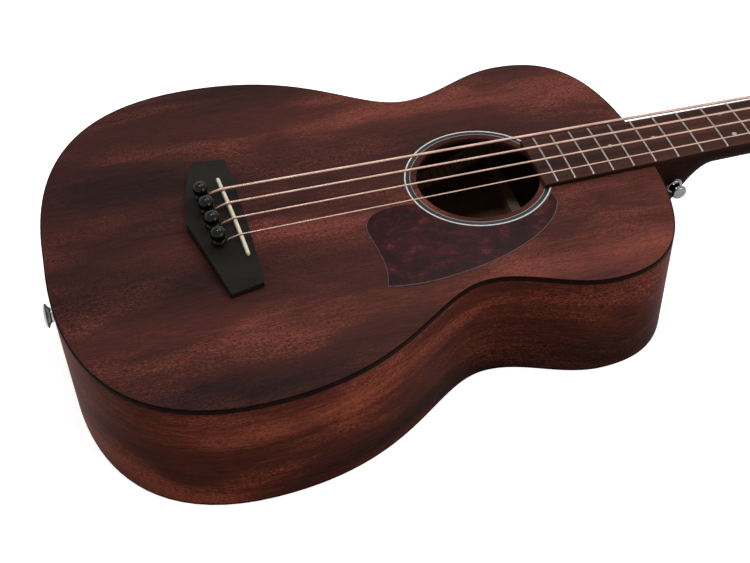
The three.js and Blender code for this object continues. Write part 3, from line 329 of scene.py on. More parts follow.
@dataclass(frozen=True)
class Metal:
    """Plated or plain metal with faint handling marks."""

    name: str
    colour: int
    roughness: float = 0.12
    marks: float = 0.08
    brushed: bool = False
    haze: tuple[float, ...] = (0.35, 0.35, 0.36, 1.0)

    def material(self) -> bpy.types.Material:
        """Builds the material."""
        tree = ShaderTree(self.name)
        place = tree.place()
        cloud = tree.noise(place, (220, 220, 220), 4.0, roughness=0.7)
        line = tree.noise(place, (300, 6000, 6000) if self.brushed else (1800, 1800, 1800), 3.0)
        tree.surface(
            Base_Color=tree.mix(cloud.step(0.45, 0.8) * 0.25, self.colour, self.haze),
            Metallic=1.0,
            Roughness=cloud * self.marks + line * self.marks + (self.roughness - self.marks),
            Normal=tree.bump(line, 0.00001, 0.35),
        )
        return tree.material


@dataclass(frozen=True)
class Resin:
    """A moulded or cast plastic, or bone: one colour with a faint cloud in it."""

    name: str
    colour: int
    cloud: int
    roughness: float = 0.3
    flecks: float = 160.0
    grit: float = 0.00001
    specular: float = 0.2

    def material(self) -> bpy.types.Material:
        """Builds the material."""
        tree = ShaderTree(self.name)
        place = tree.place()
        cloud = tree.noise(place, (self.flecks,) * 3, 3.0, roughness=0.6, distortion=0.4)
        fine = tree.noise(place, (3000, 3000, 3000), 2.0)
        tree.surface(
            Base_Color=tree.mix(cloud.step(0.4, 0.75), self.colour, self.cloud),
            Roughness=fine * 0.06 + cloud * 0.05 + (self.roughness - 0.05),
            Normal=tree.bump(fine, self.grit, 0.3),
            Specular_IOR_Level=self.specular,
        )
        return tree.material


@dataclass(frozen=True)
class TortoiseSheet:
    """The pickguard's dark red sheet, with warm flecks and faint scratches."""

    name: str = "tortoise_sheet"
    stops: Stops = ((0.34, 0x1F1013), (0.5, 0x2F1517), (0.58, 0x451A1D), (0.68, 0x74332F))
    dust: int = 0x8C6A68

    def material(self) -> bpy.types.Material:
        """Builds the material."""
        tree = ShaderTree(self.name)
        place = tree.place()
        blot = tree.noise(place, (38, 38, 38), 3.0, roughness=0.6, distortion=1.4)
        fleck = tree.noise(place, (150, 190, 170), 4.0, roughness=0.7, distortion=0.9)
        scratch = tree.noise(place, (900, 45, 45), distortion=2.0).step(0.68, 0.74)
        dust = tree.noise(place, (1400, 1400, 1400)).step(0.7, 0.78)
        colour = tree.ramp(blot * 0.6 + fleck * 0.4, *self.stops)
        tree.surface(
            Base_Color=tree.mix(scratch * 0.1 + dust * 0.12, colour, self.dust),
            Roughness=fleck * 0.1 + 0.25,
            Normal=tree.bump(blot, 0.00008, 0.4),
            Specular_IOR_Level=0.045,
        )
        return tree.material


@dataclass(frozen=True)
class WoundString:
    """Bronze wire wound round a core: fine rings along the string, the grooves between them darkened as
    painted shade.
    """

    name: str = "wound_bronze"
    light: int = 0xBC9E90
    worn: int = 0xA08174
    # Painted shade: the darker colour mixed into the grooves between the windings.
    groove_shade: int = 0x725246
    pitch: float = 0.00042

    def material(self) -> bpy.types.Material:
        """Builds the material."""
        tree = ShaderTree(self.name)
        place = tree.place(Grain.RUN.value)
        wave = (tree.axis(place, "X") * (2 * math.pi / self.pitch)).math("SINE") * 0.5 + 0.5
        tone = tree.noise(place, (60, 400, 400), 3.0)
        colour = tree.mix(tone.step(0.3, 0.8), self.light, self.worn)
        tree.surface(
            # Painted shade in the grooves between the windings.
            Base_Color=tree.mix((1.0 - wave) * 0.3, colour, self.groove_shade),
            Metallic=0.85,
            Roughness=tone * 0.12 + 0.28,
            Normal=tree.bump(wave, 0.00005, 0.4),
        )
        return tree.material


@dataclass(frozen=True)
class Pearl:
    """The fretboard's dots."""

    name: str = "pearl"
    stops: Stops = ((0.3, 0xA39D95), (0.5, 0xBDB7AE), (0.62, 0xA3ABA7), (0.75, 0xB4A7A4))

    def material(self) -> bpy.types.Material:
        """Builds the material."""
        tree = ShaderTree(self.name)
        cloud = tree.noise(tree.place(), (500, 700, 600), 3.0, distortion=1.8)
        colour = tree.ramp(cloud, *self.stops)
        tree.surface(Base_Color=colour, Roughness=cloud * 0.2 + 0.15, Coat_Weight=0.4, Coat_Roughness=0.1)
        return tree.material


FINISHES = (
    Timber("top_mahogany", 0x231614, 0x4C2823, 0x8C4A3E, book_matched=True, shift=5.81, contrast=0.95),
    Timber(
        "rib_mahogany", 0x20120E, 0x50261D, 0x964C39, Grain.RUN, shift=0.37, ribbon=0.36, contrast=1.35,
        specular=0.01,
    ),
    Timber("back_mahogany", 0x22130F, 0x4C241B, 0x84412D, book_matched=True),
    # Painted shade: the neck's mahogany is much darker than the body's, standing in for the shade that falls
    # on the neck and heel under the fretboard.
    Timber(
        "neck_mahogany_painted_shade", 0x130A08, 0x1F110D, 0x331A14, shift=0.6, ribbon=0.3, roughness=0.52, specular=0.01
    ),
    Timber("bare_mahogany", 0x503628, 0x75523D, 0x926C54, shift=0.5, roughness=0.75),
    Timber("inside_wood", 0x86684A, 0xB8936C, 0xD6B186, shift=0.2, ribbon=0.2, roughness=0.8),
    Timber("brace_wood", 0x675547, 0x8C7460, 0xA89078, shift=1.2, ribbon=0.1, pore=0.1, roughness=0.8),
    Timber("fretboard_rosewood", 0x2C1B16, 0x4A2E27, 0x6C4536, shift=0.9, ribbon=0.1, band=2.2, pore=0.8),
    # Painted shade: a darker copy of the fretboard's rosewood for its side faces.
    Timber(
        "board_side_rosewood_painted_shade", 0x17100D, 0x261814, 0x38241D, shift=0.9, ribbon=0.1, band=2.2, specular=0.01
    ),
    Timber("bridge_wood", 0x12100E, 0x1C1A17, 0x28241F, shift=1.7, ribbon=0.0, band=2.0),
    Resin("black_binding", 0x140906, 0x20100C, 0.5, specular=0.015),
    Resin("bone", 0xE9DFC6, 0xD9CBA9, 0.35, flecks=90),
    Resin("black_plastic", 0x020202, 0x050505, 0.04, specular=0.19),
    Resin("ring_black", 0x14181A, 0x20262A, 0.35),
    Resin("ring_white", 0xDDE2DF, 0xC9D0CE, 0.4),
    Resin("ring_grey", 0x9A8F86, 0x857A72, 0.45),
    TortoiseSheet(),
    Resin("guard_edge", 0x6A5654, 0x4E3836, 0.35),
    WoundString(),
    Metal("chrome", 0x9FA1A4, 0.1, 0.05),
    # Painted reflection: a darker copy of the chrome for the heel button, standing in for the dark
    # surroundings it reflects under the heel.
    Metal("chrome_painted_dark_reflection", 0x6C6E70, 0.14, 0.05),
    Metal("nickel", 0xC2C4C6, 0.24, 0.1),
    Metal("steel", 0x808184, 0.36, 0.12, brushed=True),
    Metal("fret_wire", 0x968E87, 0.3, 0.08, brushed=True),
    Resin("felt", 0xC9C8C2, 0xB5B3AC, 0.9, grit=0.0003),
    Pearl(),
)
Finishes = dict[str, bpy.types.Material]


# ---- meshes ----


class Form:
    """Points and faces in one local frame, before they become an object."""

    def __init__(self) -> None:
        """Starts empty."""
        self.points: list[Vector] = []
        self.grain: list[Vector] = []
        self.faces: list[list[int]] = []
        self.slots: list[int] = []

    def loft(
        self,
        rows: Sequence[Ring],
        slot: int = 0,
        closed: bool = False,
        open_rings: bool = False,
        grain: Sequence[Ring] | None = None,
    ) -> Form:
        """Skins through rings of as many points each.

        Args:
            rows: the rings, in order.
            slot: the finish of the faces.
            closed: whether the last ring joins the first. Otherwise both ends get a face.
            open_rings: whether each ring's last point stays apart from its first.
            grain: each point's grain coordinates in millimetres; the points themselves if left out.

        Returns:
            This form.
        """
        first, count = len(self.points), len(rows[0])
        for row, lines in zip(rows, grain or rows):
            self.points += [Vector(p) for p in row]
            self.grain += [Vector(p) for p in lines]
        runs = len(rows) if closed else len(rows) - 1
        for i in range(runs):
            here, there = first + i * count, first + (i + 1) % len(rows) * count
            for j in range(count - open_rings):
                k = (j + 1) % count
                self.faces.append([here + j, here + k, there + k, there + j])
        if not closed:
            last = first + (len(rows) - 1) * count
            self.faces += [list(range(first, first + count))[::-1], list(range(last, last + count))]
        self.slots += [slot] * (len(self.faces) - len(self.slots))
        return self

    def lathe(
        self,
        profile: Sequence[tuple[float, float]],
        steps: int = 48,
        slot: int = 0,
        place: Matrix | None = None,
        ring: bool = False,
    ) -> Form:
        """Turns a profile about z.

        Args:
            profile: radius and height of each corner.
            steps: how many sides the round has.
            slot: the finish of the faces.
            place: where the turned piece stands.
            ring: whether the profile is a closed section, as of a washer.

        Returns:
            This form.
        """
        at, turns = place or Matrix(), [2 * math.pi * i / steps for i in range(steps)]
        rows = [[at @ polar(r, turn, h) for r, h in profile] for turn in turns]
        return self.loft(rows, slot, closed=True, open_rings=not ring)

    def tube(self, path: Sequence[Vector], radius: float, sides: int = 12) -> Form:
        """Runs a round tube along a path, its grain measured along it.

        Args:
            path: the points that it follows.
            radius: its radius.
            sides: how many sides it has.

        Returns:
            This form.
        """
        rows, lines, run = [], [], 0.0
        heading = (path[1] - path[0]).normalized()
        side = heading.orthogonal().normalized()
        for i, point in enumerate(path):
            before = (point - path[i - 1]).normalized() if i else heading
            after = (path[i + 1] - point).normalized() if i + 1 < len(path) else before
            along = (before + after).normalized()
            side = (side - along * side.dot(along)).normalized()
            other = along.cross(side)
            run += (point - path[i - 1]).length if i else 0.0
            angles = [2 * math.pi * j / sides for j in range(sides)]
            rows.append([point + (side * math.cos(a) + other * math.sin(a)) * radius for a in angles])
            lines.append([Vector((run, radius * math.cos(a), radius * math.sin(a))) for a in angles])
        return self.loft(rows, grain=lines)

    def make(
        self,
        name: str,
        finishes: Sequence[bpy.types.Material],
        place: Matrix,
        crease: float = 35.0,
    ) -> bpy.types.Object:
        """Makes the object.

        Args:
            name: the piece's name.
            finishes: a material for each slot.
            place: turns the form's frame into row metres.
            crease: the angle in degrees above which an edge stays sharp.

        Returns:
            The object.
        """
        mesh = bpy.data.meshes.new(name)
        mesh.from_pydata([place @ p for p in self.points], [], self.faces)
        layer = mesh.attributes.new(Grain.RUN.value, "FLOAT_VECTOR", "POINT")
        layer.data.foreach_set("vector", [c * UNIT for p in self.grain for c in p])
        for finish in finishes:
            mesh.materials.append(finish)
        mesh.polygons.foreach_set("material_index", self.slots)
        bm = bmesh.new()
        bm.from_mesh(mesh)
        bmesh.ops.remove_doubles(bm, verts=bm.verts, dist=1e-7)
        bmesh.ops.recalc_face_normals(bm, faces=bm.faces)
        bm.to_mesh(mesh)
        bm.free()
        mesh.shade_smooth()
        mesh.set_sharp_from_angle(angle=math.radians(crease))
        made = bpy.data.objects.new(name, mesh)
        bpy.context.scene.collection.objects.link(made)
        return made


def soften(piece: bpy.types.Object, width: float, segments: int) -> None:
    """Rounds a piece's sharp edges by a width in millimetres."""
    bevel = piece.modifiers.new("edge", "BEVEL")
    bevel.width = width * UNIT
    bevel.segments = segments
    bevel.limit_method = "ANGLE"
    bevel.angle_limit = math.radians(32)
    bevel.use_clamp_overlap = True


def bezier(corners: Sequence[Vector], share: float) -> Vector:
    """Returns the point at a share of a cubic curve."""
    a, b, c, d = corners
    left = 1 - share
    return a * left**3 + b * (3 * left * left * share) + c * (3 * left * share * share) + d * share**3


def slope(corners: Sequence[Vector], share: float) -> Vector:
    """Returns the direction of a cubic curve at a share of it."""
    a, b, c, d = corners
    left = 1 - share
    along = (b - a) * (left * left) + (c - b) * (2 * left * share) + (d - c) * (share * share)
    return along.normalized()


def rounded(path: Sequence[Vector], radius: float, steps: int = 6) -> list[Vector]:
    """Rounds the corners of a path.

    Args:
        path: its corners.
        radius: how far from each corner the bend starts.
        steps: how many steps a bend has.

    Returns:
        The path with its bends.
    """
    points = [path[0]]
    for before, corner, after in zip(path, path[1:], path[2:]):
        start = corner + (before - corner).normalized() * min(radius, (before - corner).length / 2)
        end = corner + (after - corner).normalized() * min(radius, (after - corner).length / 2)
        for i in range(steps + 1):
            t = i / steps
            points.append(start * (1 - t) ** 2 + corner * (2 * t * (1 - t)) + end * t**2)
    return points + [path[-1]]


# ---- the instrument's sizes ----


@dataclass(frozen=True)
class Scale:
    """The string length and the frets that follow from it."""

    length: float = 812.8
    frets: int = 20
    body_fret: int = 15
    past_body_fret: float = 1.3

    def fret(self, number: float) -> float:
        """Returns a fret's place along the deck."""
        return self.length * 2 ** (-number / 12)

    @property
    def body_end(self) -> float:
        """Returns where the body ends, at the heel."""
        return self.fret(self.body_fret) + self.past_body_fret


SCALE = Scale()


@dataclass(frozen=True)
class Station:
    """A place on the body's outline."""

    point: Vector
    inward: Vector
    run: float

    def inset(self, depth: float) -> Vector:
        """Returns the point at a depth inside the outline."""
        return self.point + self.inward * depth

    def mirrored(self, whole: float) -> Station:
        """Returns the same place on the treble side, the run counted on round the body."""
        point, inward = (plane(v.x, -v.y) for v in (self.point, self.inward))
        return Station(point, inward, whole - self.run)


@dataclass(frozen=True)
class Outline:
    """The body's outline, half of which is four cubic curves from the tail to the neck."""

    length: float = 497.4
    lower: tuple[float, float] = (137.0, 189.2)
    waist: tuple[float, float] = (324.3, 117.15)
    upper: tuple[float, float] = (414.7, 142.25)
    handles: Pairs = ((0.175, 1.059), (0.609, 0.241), (0.358, 0.386), (0.52, 0.841))
    steps: int = 30

    @property
    def tail(self) -> float:
        """Returns the tail's x."""
        return SCALE.body_end - self.length

    def curves(self) -> list[tuple[Vector, ...]]:
        """Returns the corners of the four curves."""
        tail, end = plane(self.tail, 0), plane(SCALE.body_end, 0)
        lower, waist, upper = (plane(self.tail + x, y) for x, y in (self.lower, self.waist, self.upper))
        first, second, third, last = self.handles

        def reach(a: Vector, b: Vector, share: float) -> Vector:
            """Returns the handle that leaves a level, a share of the way to b."""
            return plane(lerp(a.x, b.x, share), a.y)

        return [
            (tail, plane(tail.x, lower.y * first[0]), reach(lower, tail, first[1]), lower),
            (lower, reach(lower, waist, second[0]), reach(waist, lower, second[1]), waist),
            (waist, reach(waist, upper, third[0]), reach(upper, waist, third[1]), upper),
            (upper, reach(upper, end, last[0]), plane(end.x, upper.y * last[1]), end),
        ]

    @cached_property
    def half(self) -> list[Station]:
        """Returns the bass side's stations, from the tail to the neck."""
        made: list[Station] = []
        run = 0.0
        for number, corners in enumerate(self.curves()):
            for i in range(self.steps + (number == 3)):
                point, along = bezier(corners, i / self.steps), slope(corners, i / self.steps)
                run += (point - made[-1].point).length if made else 0.0
                made.append(Station(point, plane(along.y, -along.x), run))
        return made

    @property
    def whole_run(self) -> float:
        """Returns the length of the whole outline."""
        return 2 * self.half[-1].run

    def around(self) -> list[Station]:
        """Returns the stations of the whole outline."""
        return self.half + [s.mirrored(self.whole_run) for s in self.half[-2:0:-1]]

    def at(self, run: float) -> Station:
        """Returns the bass side's station at a run from the tail."""
        for a, b in zip(self.half, self.half[1:]):
            if run <= b.run:
                share = (run - a.run) / (b.run - a.run)
                return Station(a.point.lerp(b.point, share), a.inward.lerp(b.inward, share), run)
        return self.half[-1]


OUTLINE = Outline()


@dataclass(frozen=True)
class Depths:
    """The body's depths and the thicknesses of its plates and sides."""

    tail: float = 111.5
    neck: float = 98.0
    top: float = 3.4
    back: float = 3.4
    side: float = 2.4

    def at(self, x: float) -> float:
        """Returns the body's depth at x."""
        return lerp(self.tail, self.neck, (x - OUTLINE.tail) / OUTLINE.length)

    @property
    def tilt(self) -> float:
        """Returns the angle between the back and the deck."""
        return math.atan2(self.tail - self.neck, OUTLINE.length)


DEPTH = Depths()
_TURN = Matrix.Rotation(DEPTH.tilt, 4, "Y")
DECK = Matrix.Scale(UNIT, 4) @ Matrix.Translation(_TURN @ Vector((0, 0, DEPTH.at(0)))) @ _TURN


def from_top(depth: float) -> Height:
    """Returns a height that is a depth below the deck at every x."""
    return lambda x: -depth


def from_back(rise: float) -> Height:
    """Returns a height that is a rise above the back's outer face at every x."""
    return lambda x: rise - DEPTH.at(x)


@dataclass(frozen=True)
class Stringing:
    """Where the strings lie at the saddle and the nut."""

    names: tuple[str, ...] = ("e", "a", "d", "g")
    diameters: tuple[float, ...] = (2.54, 2.03, 1.65, 1.14)
    at_saddle: float = 18.8
    at_nut: float = 11.4
    above_saddle_fret: float = 7.0
    above_nut_fret: float = 0.6
    crown: float = 400.0
    board: float = 5.4
    fret: float = 1.2
    saddle_x: float = 4.7
    saddle_slant: float = 4.4
    pin_behind: float = 17.6
    pin_to_string: float = 6.32

    def drop(self, y: float) -> float:
        """Returns how far the fretboard's crown falls away at y."""
        return self.crown - math.sqrt(self.crown**2 - y * y)

    def offset(self, i: int) -> float:
        """Returns a string's place from the centreline, in string spacings."""
        return (len(self.names) - 1) / 2 - i

    def fret_top(self, y: float) -> float:
        """Returns the height of the frets at y."""
        return self.board + self.fret - self.drop(y)

    def radius(self, i: int) -> float:
        """Returns a string's radius."""
        return self.diameters[i] / 2

    def saddle(self, i: int) -> Vector:
        """Returns where a string crosses the saddle."""
        y = self.offset(i) * self.at_saddle
        x = -self.saddle_x - y * math.tan(math.radians(self.saddle_slant))
        return Vector((x, y, self.fret_top(y) + self.above_saddle_fret + self.radius(i)))

    def nut(self, i: int) -> Vector:
        """Returns where a string crosses the nut."""
        y = self.offset(i) * self.at_nut
        return Vector((SCALE.length, y, self.fret_top(y) + self.above_nut_fret + self.radius(i)))

    def pin(self, i: int) -> Vector:
        """Returns the axis of a string's bridge pin."""
        at = self.saddle(i)
        return Vector((at.x - self.pin_behind, at.y, 0))


STRINGS = Stringing()


@dataclass(frozen=True)
class Hole:
    """The soundhole and the ring inlaid round it."""

    x: float = 198.216
    radius: float = 50.6
    lines: Pairs = ((60.4, 59.25), (59.25, 56.1), (56.1, 55.45))
    inlay: float = 1.2
    inlay_rise: float = 0.04

    @property
    def centre(self) -> Vector:
        """Returns its centre on the deck."""
        return plane(self.x, 0)


HOLE = Hole()


# ---- pieces in general ----


@dataclass
class Assembly:
    """A group of pieces that share the finishes."""

    finishes: Finishes

    def add(
        self,
        form: Form,
        name: str,
        finishes: Sequence[str],
        slot: str,
        *nodes: str,
        body: str = "instrument",
        place: Matrix = DECK,
        crease: float = 35.0,
        edge: float = 0.0,
        segments: int = 3,
    ) -> None:
        """Makes a piece and rides it on its body, in place of its CAD nodes.

        Args:
            form: the piece's form.
            name: the piece's name.
            finishes: the names of its finishes, one for each slot of the form.
            slot: the record's material slot for it; not used.
            nodes: the CAD nodes that it stands for.
            body: the body that carries it.
            place: turns the form's frame into row metres.
            crease: the angle in degrees above which an edge stays sharp.
            edge: how far in millimetres its sharp edges are rounded.
            segments: how many steps a rounded edge has.
        """
        piece = form.make(name, [self.finishes[finish] for finish in finishes], place, crease)
        if edge:
            soften(piece, edge, segments)
        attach(piece, body)
        if nodes:
            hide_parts(*nodes)
        log.info("%s rides on %s, for %s", piece.name, body, ", ".join(nodes) or "no node")

    def keep(self, finish: str, *nodes: str) -> None:
        """Gives CAD nodes that stay in view their finish."""
        for node in nodes:
            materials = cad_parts[node].data.materials
            materials.clear()
            materials.append(self.finishes[finish])
            log.info("%s keeps its own shape", node)


# ---- the body ----


@dataclass
class SoundBox(Assembly):
    """The soundboard, the back, the sides and what holds them together."""

    binding_height: float = 4.2
    binding_face: float = 1.0
    binding_lap: float = 1.6
    back_binding: float = 2.2
    top_round: Pairs = ((0, 0.8), (0.08, 0.42), (0.28, 0.14), (0.62, 0.0))
    back_round: Pairs = ((0, 0.8), (0.1, 0.4), (0.3, 0.12), (0.7, 0.0))
    hole_edge: float = 0.7
    hole_round: Pairs = ((1, 0), (0.3, -0.1), (0.08, -0.35), (0, -1))
    lining_width: float = 7.0
    lining_height: float = 15.0
    lining_lip: float = 4.0
    lining_strip: float = 0.9
    lining_slope: float = 1.6
    kerf: float = 7.4
    kerf_gap: float = 1.1
    neck_block_half: float = 37.0
    tail_block_half: float = 40.0
    block_gap: float = 2.0

    def soundboard(self) -> None:
        """Builds the soundboard as one ring between its hole and its rim."""
        rows, edge, thick, lap = [], self.hole_edge, DEPTH.top, self.binding_lap + SEAM
        for station in OUTLINE.around():
            rim, under = station.inset(self.binding_face), station.inset(DEPTH.side + SEAM)
            way = (rim - HOLE.centre).normalized()
            hole = [(edge * out, edge * z) for out, z in self.hole_round] + [(0, -thick)]
            ring = [lift(HOLE.centre + way * (HOLE.radius + out), z) for out, z in hole]
            rows.append([lift(rim, 0), *ring, lift(under, -thick), lift(under, -lap), lift(rim, -lap)])
        form = Form().loft(rows, closed=True)
        form.slots = [int(i % len(rows[0]) == 5) for i in range(len(form.faces))]
        self.add(form, "soundboard_plate", ["top_mahogany", "bare_mahogany"], "top_wood", "soundboard")

    def wall(self, section: Sequence[tuple[float, Height]], stations: Sequence[Station]) -> list[Ring]:
        """Returns the rings of a section that follows the rim.

        Args:
            section: inset and height, as a function of x, of each corner.
            stations: where the rings stand.

        Returns:
            One ring for each station.
        """
        rings = [[(station.inset(depth), height) for depth, height in section] for station in stations]
        return [[lift(point, height(point.x)) for point, height in ring] for ring in rings]

    def bindings(self) -> None:
        """Builds the black bindings, with rounded outer edges."""
        tall, low, face, side = self.binding_height, self.back_binding, self.binding_face, DEPTH.side
        lap = [(face, 0.0), (face, self.binding_lap), (side, self.binding_lap)]
        top = [(0, tall), *self.top_round, *lap, (side, tall)]
        back = [(0, low), *self.back_round, (side, 0.0), (side, low)]
        for edge, corners, level in (("top", top, from_top), ("back", back, from_back)):
            rows = self.wall([(inset, level(z)) for inset, z in corners], OUTLINE.around())
            form = Form().loft(rows, closed=True)
            self.add(form, f"{edge}_edge", ["black_binding"], "binding", f"{edge}_binding")

    def ribs(self) -> None:
        """Builds the two bent sides, their grain following the rim."""
        side, head = DEPTH.side, from_top(self.binding_height + SEAM)
        foot = from_back(self.back_binding + SEAM)
        section = [(0, head), (side, head), (side, foot), (0, foot)]
        half, whole = OUTLINE.half, OUTLINE.whole_run
        sides = {"bass": (half, whole), "treble": ([s.mirrored(whole) for s in half], 0.0)}
        for hand, (stations, from_tail) in sides.items():
            rows = self.wall(section, stations)
            lines = [[Vector((s.run + from_tail, 0, p.z)) for p in row] for s, row in zip(stations, rows)]
            form = Form().loft(rows, grain=lines)
            form.slots = [int(i % len(section) == 1) for i in range(len(form.faces) - 2)] + [0, 0]
            self.add(form, f"{hand}_rib", ["rib_mahogany", "bare_mahogany"], "side_wood", f"{hand}_side")

    def back_plate(self) -> None:
        """Builds the back."""
        around = [station.inset(DEPTH.side + SEAM) for station in OUTLINE.around()]
        form = Form().loft([[lift(p, z - DEPTH.at(p.x)) for p in around] for z in (0.0, DEPTH.back)])
        form.slots[-1] = 1
        self.add(form, "back_plate", ["back_mahogany", "bare_mahogany"], "side_wood", "back")

    def linings(self) -> None:
        """Builds the kerfed linings: a thin strip with a row of teeth on it."""
        outer, high = DEPTH.side + SEAM, self.lining_height
        inner, strip, half = outer + self.lining_width, outer + self.lining_strip, OUTLINE.half
        start = next(s.run for s in half if s.point.y > self.tail_block_half + self.block_gap)
        end = next(s.run for s in reversed(half) if s.point.y > self.neck_block_half + self.block_gap)
        count = int((end - start) / self.kerf)
        runs = [start + (end - start) * i / count for i in range(count + 1)]
        sets = [[OUTLINE.at(run) for run in runs]]
        sets += [[OUTLINE.at(run), OUTLINE.at(run + self.kerf - self.kerf_gap)] for run in runs[:-1]]
        for edge, plate, level in (("top", DEPTH.top, from_top), ("back", DEPTH.back, from_back)):
            base = plate + SEAM
            low = high - self.lining_slope
            full = [(outer, 0), (strip, 0), (strip, low), (outer, high)]
            tooth = [(strip, 0), (inner, 0), (inner, self.lining_lip), (strip, low - SEAM)]
            for hand, side in (("bass", 1), ("treble", -1)):
                form = Form()
                for stations in sets:
                    corners = full if stations is sets[0] else tooth
                    rows = self.wall([(inset, level(base + z)) for inset, z in corners], stations)
                    form.loft([[Vector((p.x, side * p.y, p.z)) for p in row] for row in rows])
                name = f"{edge}_lining_{hand}"
                self.add(form, f"{edge}_kerfing_{hand}", ["inside_wood"], "inner_wood", name)

    def ring(self) -> None:
        """Builds the three lines of the inlaid ring."""
        form, centre = Form(), Matrix.Translation((HOLE.x, 0, 0))
        low, high = -HOLE.inlay, HOLE.inlay_rise
        for slot, (outer, inner) in enumerate(HOLE.lines):
            section = [(inner, low), (outer, low), (outer, high), (inner, high)]
            form.lathe(section, 144, slot, centre, ring=True)
        self.add(form, "soundhole_ring", ["ring_white", "ring_black", "ring_grey"], "ring_inlay", "rosette")

    def build(self) -> None:
        """Builds the whole body. The blocks and braces keep their own shapes."""
        self.soundboard()
        self.bindings()
        self.ribs()
        self.back_plate()
        self.linings()
        self.ring()
        self.keep("inside_wood", "neck_block", "tail_block")
        back_braces = [f"back_brace_{i}" for i in range(1, 5)]
        self.keep("brace_wood", "x_bracing", "upper_brace", "bridge_plate", *back_braces)


# ---- on the soundboard ----


@dataclass
class Pickguard(Assembly):
    """The tortoise pickguard below the soundhole."""

    thickness: float = 0.8
    length: float = 156.0
    drop: float = 106.5
    ring_gap: float = 0.6
    edge: float = 0.5
    curves: tuple[Pairs, ...] = (
        ((0.47, 0.14), (0.665, 0.13), (0.667, 0.38)),
        ((0.655, 0.55), (0.62, 0.78), (0.672, 0.968)),
        ((0.387, 1.096), (-0.238, 0.883), (-0.33, 0.437)),
    )
    angles: tuple[float, float] = (197.6, 324.5)
    curve_steps: int = 28
    arc_steps: int = 60

    def round_hole(self, turn: float) -> Vector:
        """Returns the point beside the ring at an angle."""
        return HOLE.centre + plane(math.cos(turn), math.sin(turn)) * (HOLE.lines[0][0] + self.ring_gap)

    def outline(self) -> list[Vector]:
        """Returns its outline on the deck."""
        tail, neck = (math.radians(angle) for angle in self.angles)
        here, points = self.round_hole(tail), []
        for curve in self.curves:
            corners = (here, *(plane(HOLE.x - x * self.length, -y * self.drop) for x, y in curve))
            points += [bezier(corners, i / self.curve_steps) for i in range(self.curve_steps)]
            here = corners[3]
        turns = [lerp(neck, tail, i / self.arc_steps) for i in range(self.arc_steps)]
        return points + [here] + [self.round_hole(turn) for turn in turns]

    def inner(self, loop: Sequence[Vector], by: float) -> list[Vector]:
        """Returns a loop moved inwards."""
        made = []
        for i, point in enumerate(loop):
            ways = [(point - loop[i - 1]), (loop[(i + 1) % len(loop)] - point)]
            normals = [plane(-w.y, w.x).normalized() for w in ways if w.length > 1e-6]
            normal = sum(normals, plane(0, 0)).normalized()
            made.append(point + normal * by / max(normal.dot(normals[0]), 0.6))
        return made

    def build(self) -> None:
        """Builds the pickguard with a bevelled pale edge."""
        loop = self.outline()
        area = sum(a.x * b.y - b.x * a.y for a, b in zip(loop, loop[1:] + loop[:1]))
        inside = self.inner(loop, self.edge if area > 0 else -self.edge)
        top = SEAM + self.thickness
        layers = [(loop, SEAM / 2), (loop, top - self.edge * 0.8), (inside, top)]
        form = Form().loft([[lift(p, z) for p in points] for points, z in layers])
        form.slots = [1] * (len(form.faces) - 1) + [0]
        finishes = ["tortoise_sheet", "guard_edge"]
        self.add(form, "pickguard_sheet", finishes, "tortoise", "pickguard", crease=20)


